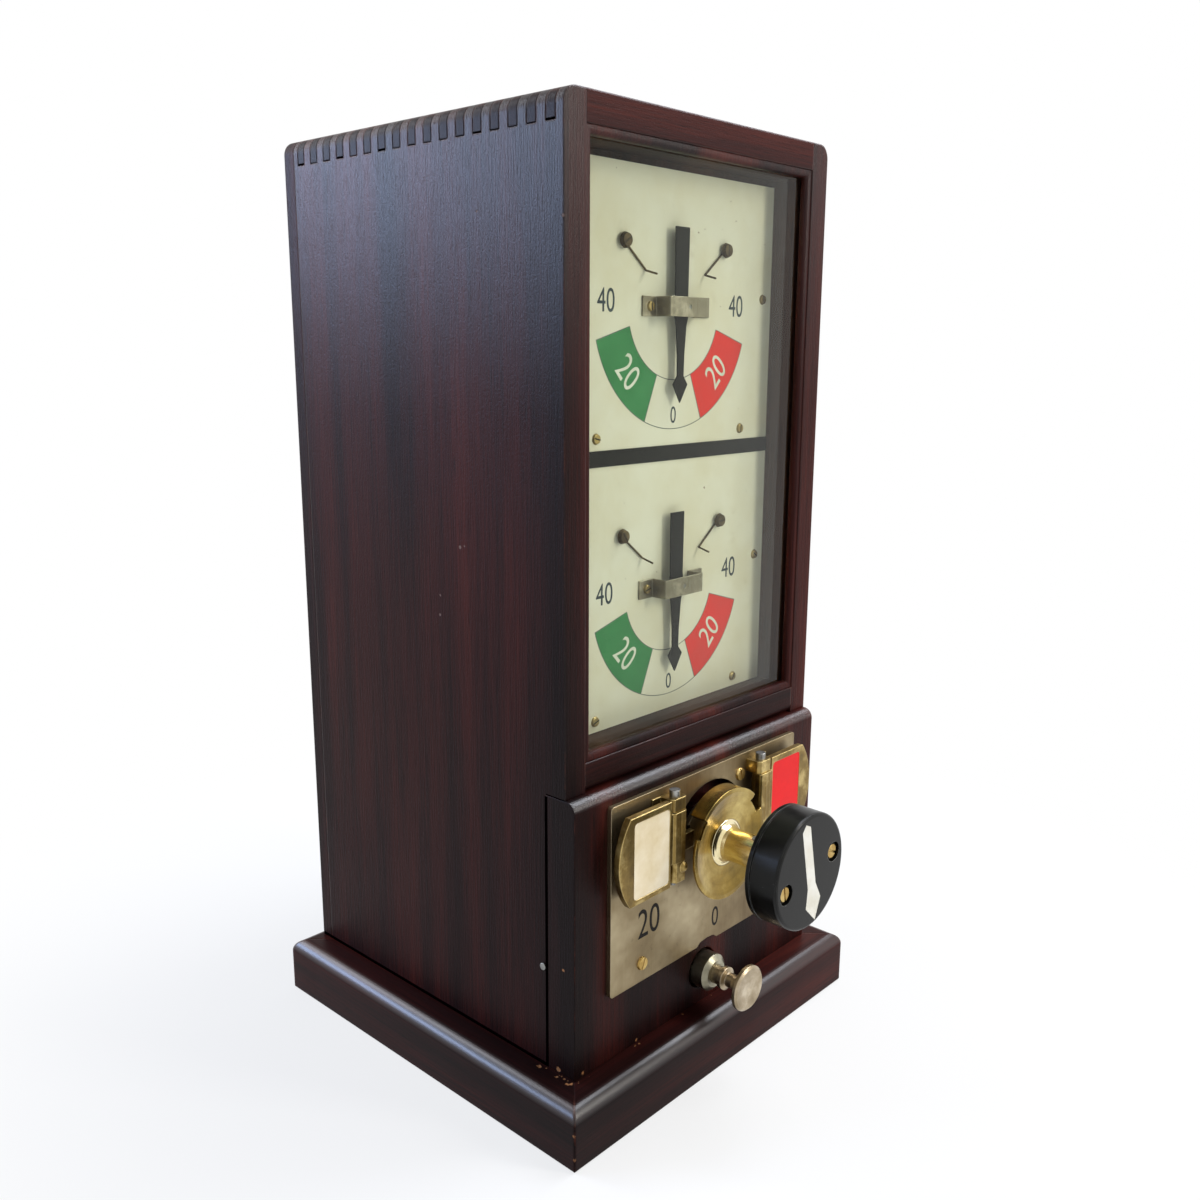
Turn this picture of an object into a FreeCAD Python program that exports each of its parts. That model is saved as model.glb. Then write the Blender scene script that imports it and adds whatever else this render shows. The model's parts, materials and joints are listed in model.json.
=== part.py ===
import FreeCAD, Part
import os

import Sketcher
from FreeCAD import Placement, Rotation, Vector

os.makedirs("parts", exist_ok=True)
doc = FreeCAD.newDocument("BlockIndicator")
sheet = doc.addObject("Spreadsheet::Sheet", "Sizes")
sheetRows = []
subParts = []
made = []


class Size:
    def __init__(self, value, text):
        self.value = value
        self.text = text

    def __add__(self, other):
        other = asSize(other)
        return Size(self.value + other.value, "(%s + %s)" % (self.text, other.text))

    def __sub__(self, other):
        other = asSize(other)
        return Size(self.value - other.value, "(%s - %s)" % (self.text, other.text))

    def __mul__(self, other):
        other = asSize(other)
        return Size(self.value * other.value, "(%s * %s)" % (self.text, other.text))

    def __truediv__(self, other):
        other = asSize(other)
        return Size(self.value / other.value, "(%s / %s)" % (self.text, other.text))

    def __rsub__(self, other):
        return asSize(other) - self

    def __neg__(self):
        return asSize(0) - self

    __radd__ = __add__
    __rmul__ = __mul__


def asSize(amount):
    if isinstance(amount, Size):
        return amount
    return Size(float(amount), "(%r)" % float(amount))


def size(name, value):
    row = len(sheetRows) + 1
    sheetRows.append(name)
    sheet.set("A%d" % row, name)
    sheet.set("B%d" % row, str(value))
    sheet.setAlias("B%d" % row, name)
    return Size(float(value), "Sizes." + name)


def ordered(a, b):
    a = asSize(a)
    b = asSize(b)
    return (a, b) if a.value <= b.value else (b, a)


def bind(obj, prop, amount):
    obj.setExpression(prop, asSize(amount).text)


def newName(stem):
    made.append(stem)
    return "%s%d" % (stem, len(made))


def place(obj, x, y, z, turn=None):
    spot = Vector(asSize(x).value, asSize(y).value, asSize(z).value)
    obj.Placement = Placement(spot, turn or Rotation())
    bind(obj, "Placement.Base.x", x)
    bind(obj, "Placement.Base.y", y)
    bind(obj, "Placement.Base.z", z)


def box(xa, xb, ya, yb, za, zb):
    x0, x1 = ordered(xa, xb)
    y0, y1 = ordered(ya, yb)
    z0, z1 = ordered(za, zb)
    obj = doc.addObject("Part::Box", newName("Block"))
    bind(obj, "Length", x1 - x0)
    bind(obj, "Width", y1 - y0)
    bind(obj, "Height", z1 - z0)
    place(obj, x0, y0, z0)
    return obj


alongY = Rotation(Vector(1, 0, 0), -90)
alongX = Rotation(Vector(0, 1, 0), 90)
facingFront = Rotation(Vector(1, 0, 0), 90)


def rodY(x, z, radius, ya, yb):
    y0, y1 = ordered(ya, yb)
    obj = doc.addObject("Part::Cylinder", newName("Rod"))
    bind(obj, "Radius", radius)
    bind(obj, "Height", y1 - y0)
    place(obj, x, y0, z, alongY)
    return obj


def rodZ(x, y, radius, za, zb):
    z0, z1 = ordered(za, zb)
    obj = doc.addObject("Part::Cylinder", newName("Rod"))
    bind(obj, "Radius", radius)
    bind(obj, "Height", z1 - z0)
    place(obj, x, y, z0)
    return obj


def rodX(y, z, radius, xa, xb):
    x0, x1 = ordered(xa, xb)
    obj = doc.addObject("Part::Cylinder", newName("Rod"))
    bind(obj, "Radius", radius)
    bind(obj, "Height", x1 - x0)
    place(obj, x0, y, z, alongX)
    return obj


def ball(x, y, z, radius):
    obj = doc.addObject("Part::Sphere", newName("Ball"))
    bind(obj, "Radius", radius)
    place(obj, x, y, z)
    return obj


def coneY(x, z, y0, radius0, y1, radius1):
    obj = doc.addObject("Part::Cone", newName("Taper"))
    bind(obj, "Radius1", radius0)
    bind(obj, "Radius2", radius1)
    bind(obj, "Height", asSize(y1) - y0)
    place(obj, x, y0, z, alongY)
    return obj


def sectorY(x, z, inner, outer, ya, yb, start, sweep):
    y0, y1 = ordered(ya, yb)
    turn = facingFront * Rotation(Vector(0, 0, 1), start)
    whole = doc.addObject("Part::Cylinder", newName("Sector"))
    bind(whole, "Radius", outer)
    bind(whole, "Height", y1 - y0)
    whole.Angle = sweep
    place(whole, x, y1, z, turn)
    core = rodY(x, z, inner, y0 - 1, y1 + 1)
    return cut(whole, [core])


def fuse(shapes, name=None):
    obj = doc.addObject("Part::MultiFuse", name or newName("Joined"))
    obj.Shapes = shapes
    return obj


def common(shapes, name=None):
    obj = doc.addObject("Part::MultiCommon", name or newName("Shared"))
    obj.Shapes = shapes
    return obj


def cut(base, tools, name=None):
    tool = tools[0] if len(tools) == 1 else fuse(tools)
    obj = doc.addObject("Part::Cut", name or newName("Trimmed"))
    obj.Base = base
    obj.Tool = tool
    doc.recompute()
    if obj.Shape.Volume >= base.Shape.Volume - 1e-4:
        raise RuntimeError("nothing was cut from " + base.Name)
    return obj


def group(shapes, name):
    obj = doc.addObject("Part::Compound", name)
    obj.Links = shapes
    return obj


def node(obj, label):
    obj.Label = label
    subParts.append(obj)
    return obj


def body(name):
    return doc.addObject("PartDesign::Body", name)


def sketchOn(owner, plane, level, x=0, y=0, turn=0):
    sketch = owner.newObject("Sketcher::SketchObject", newName("Sketch"))
    support = [f for f in owner.Origin.OriginFeatures if f.Role == plane + "_Plane"][0]
    sketch.AttachmentSupport = (support, [""])
    sketch.MapMode = "FlatFace"
    spot = Vector(asSize(x).value, asSize(y).value, asSize(level).value)
    sketch.AttachmentOffset = Placement(spot, Rotation(Vector(0, 0, 1), turn))
    bind(sketch, "AttachmentOffset.Base.x", x)
    bind(sketch, "AttachmentOffset.Base.y", y)
    bind(sketch, "AttachmentOffset.Base.z", level)
    return sketch


def fix(sketch, kind, geo, end, amount):
    number = sketch.addConstraint(Sketcher.Constraint(kind, -1, 1, geo, end, asSize(amount).value))
    sketch.setExpression("Constraints[%d]" % number, asSize(amount).text)


def outline(sketch, points):
    spots = [Vector(asSize(x).value, asSize(y).value, 0) for x, y in points]
    first = sketch.GeometryCount
    count = len(spots)
    for i in range(count):
        sketch.addGeometry(Part.LineSegment(spots[i], spots[(i + 1) % count]), False)
    for i in range(count):
        after = first + (i + 1) % count
        sketch.addConstraint(Sketcher.Constraint("Coincident", first + i, 2, after, 1))
    for i, (x, y) in enumerate(points):
        fix(sketch, "DistanceX", first + i, 1, x)
        fix(sketch, "DistanceY", first + i, 1, y)


def rectangle(sketch, xa, xb, ya, yb):
    outline(sketch, [(xa, ya), (xb, ya), (xb, yb), (xa, yb)])


def circle(sketch, x, y, radius):
    spot = Vector(asSize(x).value, asSize(y).value, 0)
    radius = asSize(radius)
    number = sketch.addGeometry(Part.Circle(spot, Vector(0, 0, 1), radius.value), False)
    fix(sketch, "DistanceX", number, 3, x)
    fix(sketch, "DistanceY", number, 3, y)
    held = sketch.addConstraint(Sketcher.Constraint("Radius", number, radius.value))
    sketch.setExpression("Constraints[%d]" % held, radius.text)


def pad(owner, sketch, length):
    feature = owner.newObject("PartDesign::Pad", newName("Pad"))
    feature.Profile = sketch
    bind(feature, "Length", length)
    doc.recompute()
    return feature


def pocket(owner, sketch, depth):
    before = owner.Shape.Volume
    feature = owner.newObject("PartDesign::Pocket", newName("Pocket"))
    feature.Profile = sketch
    bind(feature, "Length", depth)
    doc.recompute()
    if owner.Shape.Volume >= before - 1e-4:
        raise RuntimeError("nothing was cut from " + owner.Name)
    return feature


def rowOf(owner, feature, axis, length, count):
    before = owner.Shape.Volume
    pattern = owner.newObject("PartDesign::LinearPattern", newName("Row"))
    pattern.Originals = [feature]
    line = [f for f in owner.Origin.OriginFeatures if f.Role == axis + "_Axis"][0]
    pattern.Direction = (line, [""])
    bind(pattern, "Length", length)
    pattern.Occurrences = count
    owner.Tip = pattern
    doc.recompute()
    if owner.Shape.Volume >= before - 1e-4:
        raise RuntimeError("the row cut nothing from " + owner.Name)
    return pattern


def roundEdges(owner, radius, wanted):
    doc.recompute()
    tip = owner.Tip
    names = []
    for i, edge in enumerate(tip.Shape.Edges):
        if wanted(edge.CenterOfMass):
            names.append("Edge%d" % (i + 1))
    feature = owner.newObject("PartDesign::Fillet", newName("Round"))
    feature.Base = (tip, names)
    bind(feature, "Radius", radius)
    doc.recompute()
    return feature


def near(a, b):
    return abs(a - asSize(b).value) < 0.01


def plateXZ(name, points, yFront, yBack, x=0, z=0, turn=0):
    owner = body(name)
    sketch = sketchOn(owner, "XZ", -asSize(yBack), x, z, turn)
    outline(sketch, points)
    pad(owner, sketch, asSize(yBack) - yFront)
    return owner


def holesY(owner, circles, yFront, depth):
    sketch = sketchOn(owner, "XZ", -asSize(yFront))
    for x, z, radius in circles:
        circle(sketch, x, z, radius)
    return pocket(owner, sketch, depth)


def frontPocket(owner, points, yFront, depth, x=0, z=0, turn=0):
    sketch = sketchOn(owner, "XZ", -asSize(yFront), x, z, turn)
    outline(sketch, points)
    return pocket(owner, sketch, depth)


def turnedY(name, x, z, points):
    owner = body(name)
    sketch = sketchOn(owner, "XY", z, x, 0)
    outline(sketch, points)
    feature = owner.newObject("PartDesign::Revolution", newName("Turned"))
    feature.Profile = sketch
    feature.ReferenceAxis = (sketch, ["V_Axis"])
    feature.Angle = 360
    doc.recompute()
    return owner


def rectanglePoints(xa, xb, ya, yb):
    return [(xa, ya), (xb, ya), (xb, yb), (xa, yb)]


# A rectangle whose corners are rounded by two short flats each
def softRectangle(xa, xb, ya, yb, radius):
    x0, x1 = ordered(xa, xb)
    y0, y1 = ordered(ya, yb)
    cut0 = radius
    cut1 = radius * 0.3
    return [
        (x0 + cut0, y0),
        (x1 - cut0, y0),
        (x1 - cut1, y0 + cut1),
        (x1, y0 + cut0),
        (x1, y1 - cut0),
        (x1 - cut1, y1 - cut1),
        (x1 - cut0, y1),
        (x0 + cut0, y1),
        (x0 + cut1, y1 - cut1),
        (x0, y1 - cut0),
        (x0, y0 + cut0),
        (x0 + cut1, y0 + cut1),
    ]


headTaper = size("SmallHeadTaper", 0.8)
slottedTaper = size("SlottedHeadTaper", 0.86)
slotShare = size("SlotWidthShare", 0.28)
slotDepthShare = size("SlotDepthShare", 0.45)


# A plain screw head on the plane yHead, narrower towards its outer face
def domeY(x, z, yHead, headRadius, headHeight, faces=-1):
    low, high = ordered(yHead, asSize(yHead) + faces * asSize(headHeight))
    small = asSize(headRadius) * headTaper
    if faces < 0:
        return coneY(x, z, low, small, high, headRadius)
    return coneY(x, z, low, headRadius, high, small)


# A slotted screw seated on the plane yHead, its head standing towards the front
def screwY(x, z, yHead, headRadius, headHeight, shankRadius, shankLength, slotTurn):
    yTop = yHead - headHeight
    head = coneY(x, z, yTop, headRadius * slottedTaper, yHead, headRadius)
    shank = rodY(x, z, shankRadius, yHead, yHead + shankLength)
    slot = doc.addObject("Part::Box", newName("Slot"))
    reach = headRadius * 1.1
    halfSlot = headRadius * slotShare / 2
    bind(slot, "Length", reach * 2)
    bind(slot, "Width", halfSlot * 2)
    bind(slot, "Height", headHeight)
    tilt = facingFront * Rotation(Vector(0, 0, 1), slotTurn)
    along = tilt.multVec(Vector(1, 0, 0))
    across = tilt.multVec(Vector(0, 1, 0))
    slot.Placement = Placement(Vector(0, 0, 0), tilt)
    bind(slot, "Placement.Base.x", x - reach * along.x - halfSlot * across.x)
    bind(slot, "Placement.Base.z", z - reach * along.z - halfSlot * across.z)
    bind(slot, "Placement.Base.y", yTop + headHeight * slotDepthShare)
    return cut(fuse([head, shank]), [slot])


# Case and base
caseWidth = size("CaseWidth", 221)
caseHeight = size("CaseHeight", 503)
sideDepth = size("SideDepth", 219)
backThick = size("BackThickness", 9.6)
board = size("BoardThickness", 15)
baseHeight = size("BaseHeight", 35)
baseOver = size("BaseSideOverhang", 19.5)
baseFrontOver = size("BaseFrontOverhang", 25.7)
baseBackOver = size("BaseBackOverhang", 8.1)
mouldingWidth = size("MouldingWidth", 40)
baseRound = size("BaseEdgeRadius", 8)
footRound = size("BaseFootRadius", 1.5)
topRound = size("TopEdgeRadius", 8)
fingerFront = size("FingerFrontGap", 5.2)
fingerBack = size("FingerBackGap", 4.25)
fingerFit = size("FingerClearance", 0.02)
fingerCount = 17

halfWidth = caseWidth / 2
inside = halfWidth - board
baseDepth = baseFrontOver + sideDepth + backThick + baseBackOver
halfBase = baseDepth / 2
caseFront = baseFrontOver - halfBase
sideBack = caseFront + sideDepth
caseBack = sideBack + backThick
baseSide = halfWidth + baseOver
top = baseHeight + caseHeight
topUnder = top - board

# Commutator box front
coverHeight = size("CoverHeight", 159)
coverProud = size("CoverProud", 6.8)
coverThick = size("CoverThickness", 20.8)
coverRound = size("CoverTopRadius", 6)
railHeight = size("RailHeight", 16.5)
railRound = size("RailEdgeRadius", 5)

coverFront = caseFront - coverProud
coverBack = coverFront + coverThick
coverTop = baseHeight + coverHeight
railTop = coverTop + railHeight

# Window
beadWidth = size("BeadWidth", 4.5)
beadInset = size("BeadInset", 0.5)
beadDeep = size("BeadDepth", 4.5)
glassThick = size("GlassThickness", 3)
glassPlay = size("GlassPlay", 0.6)
liningThick = size("LiningThickness", 4.5)
dialSetBack = size("DialSetBack", 23.5)
dialPlateThick = size("DialPlateThickness", 1.5)
dialBoardThick = size("DialBoardThickness", 8)
dialLowGap = size("DialLowGap", 3.4)
dialHighGap = size("DialHighGap", 8.4)
dividerHeight = size("DividerHeight", 8.6)
boardPlay = size("DialBoardPlay", 0.5)
liningPlay = size("LiningGapUnderDial", 0.4)

beadFront = caseFront + beadInset
glassFront = beadFront + beadDeep
glassBack = glassFront + glassThick
dialFront = caseFront + dialSetBack
boardFront = dialFront + dialPlateThick
boardBack = boardFront + dialBoardThick
sight = inside - liningThick
dialLow = railTop + dialLowGap
dialHigh = topUnder - dialHighGap
dialHeight = (dialHigh - dialLow - dividerHeight) / 2
dialRise = size("DialCentreShare", 0.513)
dials = {
    "upper": (dialHigh - dialHeight, dialHigh),
    "lower": (dialLow, dialLow + dialHeight),
}


# Base: a board framed by four mitred mouldings with a rounded upper edge
innerSide = baseSide - mouldingWidth
innerDeep = halfBase - mouldingWidth


def moulding(label, corners, outer):
    owner = body(label)
    sketch = sketchOn(owner, "XY", 0)
    outline(sketch, corners)
    pad(owner, sketch, baseHeight)
    roundEdges(owner, baseRound, lambda c: outer(c) and near(c.z, baseHeight))
    roundEdges(owner, footRound, lambda c: outer(c) and near(c.z, 0))
    node(owner, label)


moulding(
    "base_moulding_front",
    [(-baseSide, -halfBase), (baseSide, -halfBase), (innerSide, -innerDeep), (-innerSide, -innerDeep)],
    lambda c: near(c.y, -halfBase),
)
moulding(
    "base_moulding_back",
    [(-baseSide, halfBase), (-innerSide, innerDeep), (innerSide, innerDeep), (baseSide, halfBase)],
    lambda c: near(c.y, halfBase),
)
moulding(
    "base_moulding_left",
    [(-baseSide, -halfBase), (-innerSide, -innerDeep), (-innerSide, innerDeep), (-baseSide, halfBase)],
    lambda c: near(c.x, -baseSide),
)
moulding(
    "base_moulding_right",
    [(baseSide, -halfBase), (baseSide, halfBase), (innerSide, innerDeep), (innerSide, -innerDeep)],
    lambda c: near(c.x, baseSide),
)
node(box(-innerSide, innerSide, -innerDeep, innerDeep, 0, baseHeight), "base_board")

# Sides and top: fingers cut along the upper edges lock the boards together
fingerWidth = (sideDepth - fingerFront - fingerBack) / (2 * fingerCount - 1)
fingerRun = fingerWidth * (2 * (fingerCount - 1))
firstFinger = caseFront + fingerFront
sideScrewZ = baseHeight + size("SideScrewRise", 59.7)
sideScrewInset = size("SideScrewInset", 2.6)
sideScrewRadius = size("SideScrewRadius", 2)
sideScrewHeight = size("SideScrewHeadHeight", 0.8)
sideScrewY = coverBack + sideScrewInset

for side, label in ((-1, "left"), (1, "right")):
    owner = body("Side" + label)
    sketch = sketchOn(owner, "XZ", -sideBack)
    rectangle(sketch, side * inside, side * halfWidth, baseHeight, top)
    pad(owner, sketch, sideDepth)
    roundEdges(owner, topRound, lambda c, s=side: near(c.x, s * halfWidth) and near(c.z, top))
    low = sketchOn(owner, "XZ", -caseFront)
    xa, xb = ordered(side * (inside - 1), side * (halfWidth + 1))
    rectangle(low, xa, xb, baseHeight - 1, coverTop)
    pocket(owner, low, coverBack - caseFront)
    notch = sketchOn(owner, "XY", top + 1)
    rectangle(notch, xa, xb, firstFinger - fingerFit, firstFinger + fingerWidth + fingerFit)
    first = pocket(owner, notch, board + 1)
    rowOf(owner, first, "Y", fingerRun, fingerCount)
    node(owner, "side_panel_" + label)

owner = body("Top")
sketch = sketchOn(owner, "XZ", -sideBack)
rectangle(sketch, -halfWidth, halfWidth, topUnder, top)
pad(owner, sketch, sideDepth)
roundEdges(owner, topRound, lambda c: near(abs(c.x), halfWidth) and near(c.z, top))
for side in (-1, 1):
    xa, xb = ordered(side * inside, side * (halfWidth + 1))
    ends = sketchOn(owner, "XY", top + 1)
    rectangle(ends, xa, xb, caseFront - 1, firstFinger)
    rectangle(ends, xa, xb, firstFinger + fingerRun + fingerWidth, sideBack + 1)
    pocket(owner, ends, board + 2)
    notch = sketchOn(owner, "XY", top + 1)
    rectangle(notch, xa, xb, firstFinger + fingerWidth, firstFinger + 2 * fingerWidth)
    first = pocket(owner, notch, board + 2)
    rowOf(owner, first, "Y", fingerRun - 2 * fingerWidth, fingerCount - 1)
node(owner, "top_panel")

# Back board with the cable entry and its screws
backScrewRadius = size("BackScrewRadius", 4)
backScrewHeight = size("BackScrewHeadHeight", 1.8)
backScrewLow = size("BackScrewRise", 25)
backScrewHigh = size("BackScrewDrop", 32)
drillPlay = size("DrillClearance", 0.05)
entryRadius = size("CableEntryRadius", 11)
entryHeight = size("CableEntryHeight", 45)
entryZ = baseHeight + entryHeight
owner = plateXZ(
    "Back",
    rectanglePoints(-halfWidth, halfWidth, baseHeight, top),
    sideBack,
    caseBack,
)
roundEdges(owner, topRound, lambda c: near(abs(c.x), halfWidth) and near(c.z, top))
backSpots = []
for side in (-1, 1):
    for level in (baseHeight + backScrewLow, (baseHeight + top) / 2, top - backScrewHigh):
        backSpots.append((side * (halfWidth - board / 2), level))
holesY(owner, [(asSize(0), entryZ, entryRadius)], sideBack, backThick)
node(owner, "back_panel")
backScrews = [domeY(x, z, caseBack, backScrewRadius, backScrewHeight, 1) for x, z in backSpots]
node(group(backScrews, "BackScrews"), "back_screws")
sideScrews = []
for side in (-1, 1):
    outer = side * (halfWidth + sideScrewHeight)
    sideScrews.append(rodX(sideScrewY, sideScrewZ, sideScrewRadius, side * halfWidth, outer))
node(group(sideScrews, "SideScrews"), "side_screws")

# Front rail between the sides, its lower front edge rounded
owner = plateXZ(
    "Rail",
    rectanglePoints(-inside, inside, coverTop, railTop),
    caseFront,
    caseFront + board,
)
roundEdges(owner, railRound, lambda c: near(c.y, caseFront) and near(c.z, coverTop))
node(owner, "front_rail")

# Window: a bead frame in front of the glass, and a lining frame that holds the dial board back
owner = plateXZ(
    "Bead",
    rectanglePoints(-inside, inside, railTop, topUnder),
    beadFront,
    glassFront,
)
frontPocket(
    owner,
    rectanglePoints(beadWidth - inside, inside - beadWidth, railTop + beadWidth, topUnder - beadWidth),
    beadFront,
    beadDeep,
)
beadRound = size("BeadRadius", 2.5)
roundEdges(
    owner,
    beadRound,
    lambda c: near(c.y, beadFront)
    and not near(abs(c.x), inside)
    and not near(c.z, railTop)
    and not near(c.z, topUnder),
)
node(owner, "glazing_frame")
glassSide = inside - glassPlay
node(
    box(-glassSide, glassSide, glassFront, glassBack, railTop + glassPlay, topUnder - glassPlay),
    "window_glass",
)
owner = plateXZ(
    "Lining",
    rectanglePoints(-inside, inside, railTop, topUnder),
    glassBack,
    boardFront,
)
frontPocket(
    owner,
    rectanglePoints(-sight, sight, railTop + (dialLowGap - liningPlay), topUnder - liningThick),
    glassBack,
    boardFront - glassBack,
)
node(owner, "window_lining")

# Dials
needleTail = size("NeedleTailLength", 42)
needleTailHalf = size("NeedleTailHalfWidth", 5.85)
needleWaist = size("NeedleWaistHeight", 6)
needleWaistHalf = size("NeedleWaistHalfWidth", 5.4)
needleHubHalf = size("NeedleHubHalfWidth", 5.7)
needleHubRise = size("NeedleHubHalfHeight", 5.3)
needleShoulder = size("NeedleShoulderDrop", 10)
needleShoulderHalf = size("NeedleShoulderHalfWidth", 4.3)
needleTaper = size("NeedleTaperDrop", 26)
needleTaperHalf = size("NeedleTaperHalfWidth", 2.9)
needleNeck = size("NeedleNeckDrop", 37)
needleNeckHalf = size("NeedleNeckHalfWidth", 2.6)
needleArrow = size("NeedleArrowDrop", 41.5)
needleArrowHalf = size("NeedleArrowHalfWidth", 6.2)
needleTip = size("NeedleTipLength", 51.5)
needleThick = size("NeedleThickness", 0.8)
needleBack = size("NeedleStandOff", 4.1)
collarSmall = size("SpindleCollarRadius", 2.8)
spindleRadius = size("SpindleRadius", 1.2)
spindleFit = size("SpindleClearance", 0.05)
spindleSink = size("SpindleEndSink", 0.2)
collarLong = size("SpindleCollarLength", 1.6)
pressFit = size("PressedHubPlay", 0.3)
bridgeBend = size("BridgeBendRadius", 1)
bridgeFront = size("BridgeStandOff", 11)
bridgeThick = size("BridgeThickness", 1.2)
bridgeHeight = size("BridgeHeight", 10.6)
bridgeHalf = size("BridgeHalfSpan", 17)
bridgeFoot = bridgeHalf + size("BridgeFootLength", 11)
bridgeScrewX = bridgeHalf + size("BridgeScrewInset", 5)
bridgeScrewRadius = size("BridgeScrewRadius", 2.8)
dialScrewRadius = size("DialScrewRadius", 3)
dialScrewX = sight - size("DialScrewSideMargin", 8.5)
dialScrewRise = size("DialScrewRise", 6.8)
dialScrewLowX = size("DialScrewLowOffset", 63.2)
dialScrewEdge = size("DialScrewEdge", 6.3)
smallHead = size("SmallScrewHeadHeight", 1.2)
stopHead = size("StopScrewHeadHeight", 2.2)
stopX = size("StopScrewOffset", 43.3)
stopZ = size("StopScrewRise", 32.5)
stopScrewRadius = size("StopScrewRadius", 4.2)
stopStand = size("StopScrewStand", 1.6)
wireRadius = size("StopWireRadius", 0.55)
wireTipX = size("StopWireTipOffset", 25.4)
wireTipZ = size("StopWireTipRise", 18.2)
wireForward = size("StopWireForward", 7.6)
wireDroop = size("StopWireDroop", 2)
wireEnd = size("StopWireEndGap", 2.9)
wireLift = size("StopWireLift", 0.1)
dialHole = size("DialSpindleHole", 2.5)
boardHolePlay = size("BoardHolePlay", 0.5)
armatureHalf = size("ArmatureHalfWidth", 4)
armatureDrop = size("ArmatureDrop", 26)
armatureThick = size("ArmatureThickness", 8)
armatureGap = size("ArmatureSetBack", 6)
frameReach = size("MovementReach", 24)
coilInner = size("CoilInnerHalf", 26)
coilWidth = size("CoilWidth", 8)
coilDeep = size("CoilDepth", 17)
coilBelow = size("CoilGapBelowArmature", 6)
coilAbove = size("CoilRiseAboveCentre", 10)
frameGap = size("MovementCoilGap", 1)
frameThick = size("MovementStripThickness", 3)
frameFoot = size("MovementFootLength", 9)
frameWide = size("MovementStripWidth", 14)



# A straight wire from a point along a run, shorter than the run by the given gap
def wireFrom(start, run, gap):
    wire = doc.addObject("Part::Cylinder", newName("Wire"))
    bind(wire, "Radius", wireRadius)
    squares = [part * part for part in run]
    reach = squares[0] + squares[1] + squares[2]
    wire.setExpression("Height", "sqrt(%s) - %s" % (reach.text, asSize(gap).text))
    place(wire, *start, Rotation(Vector(0, 0, 1), Vector(*[part.value for part in run])))
    return wire


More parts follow.
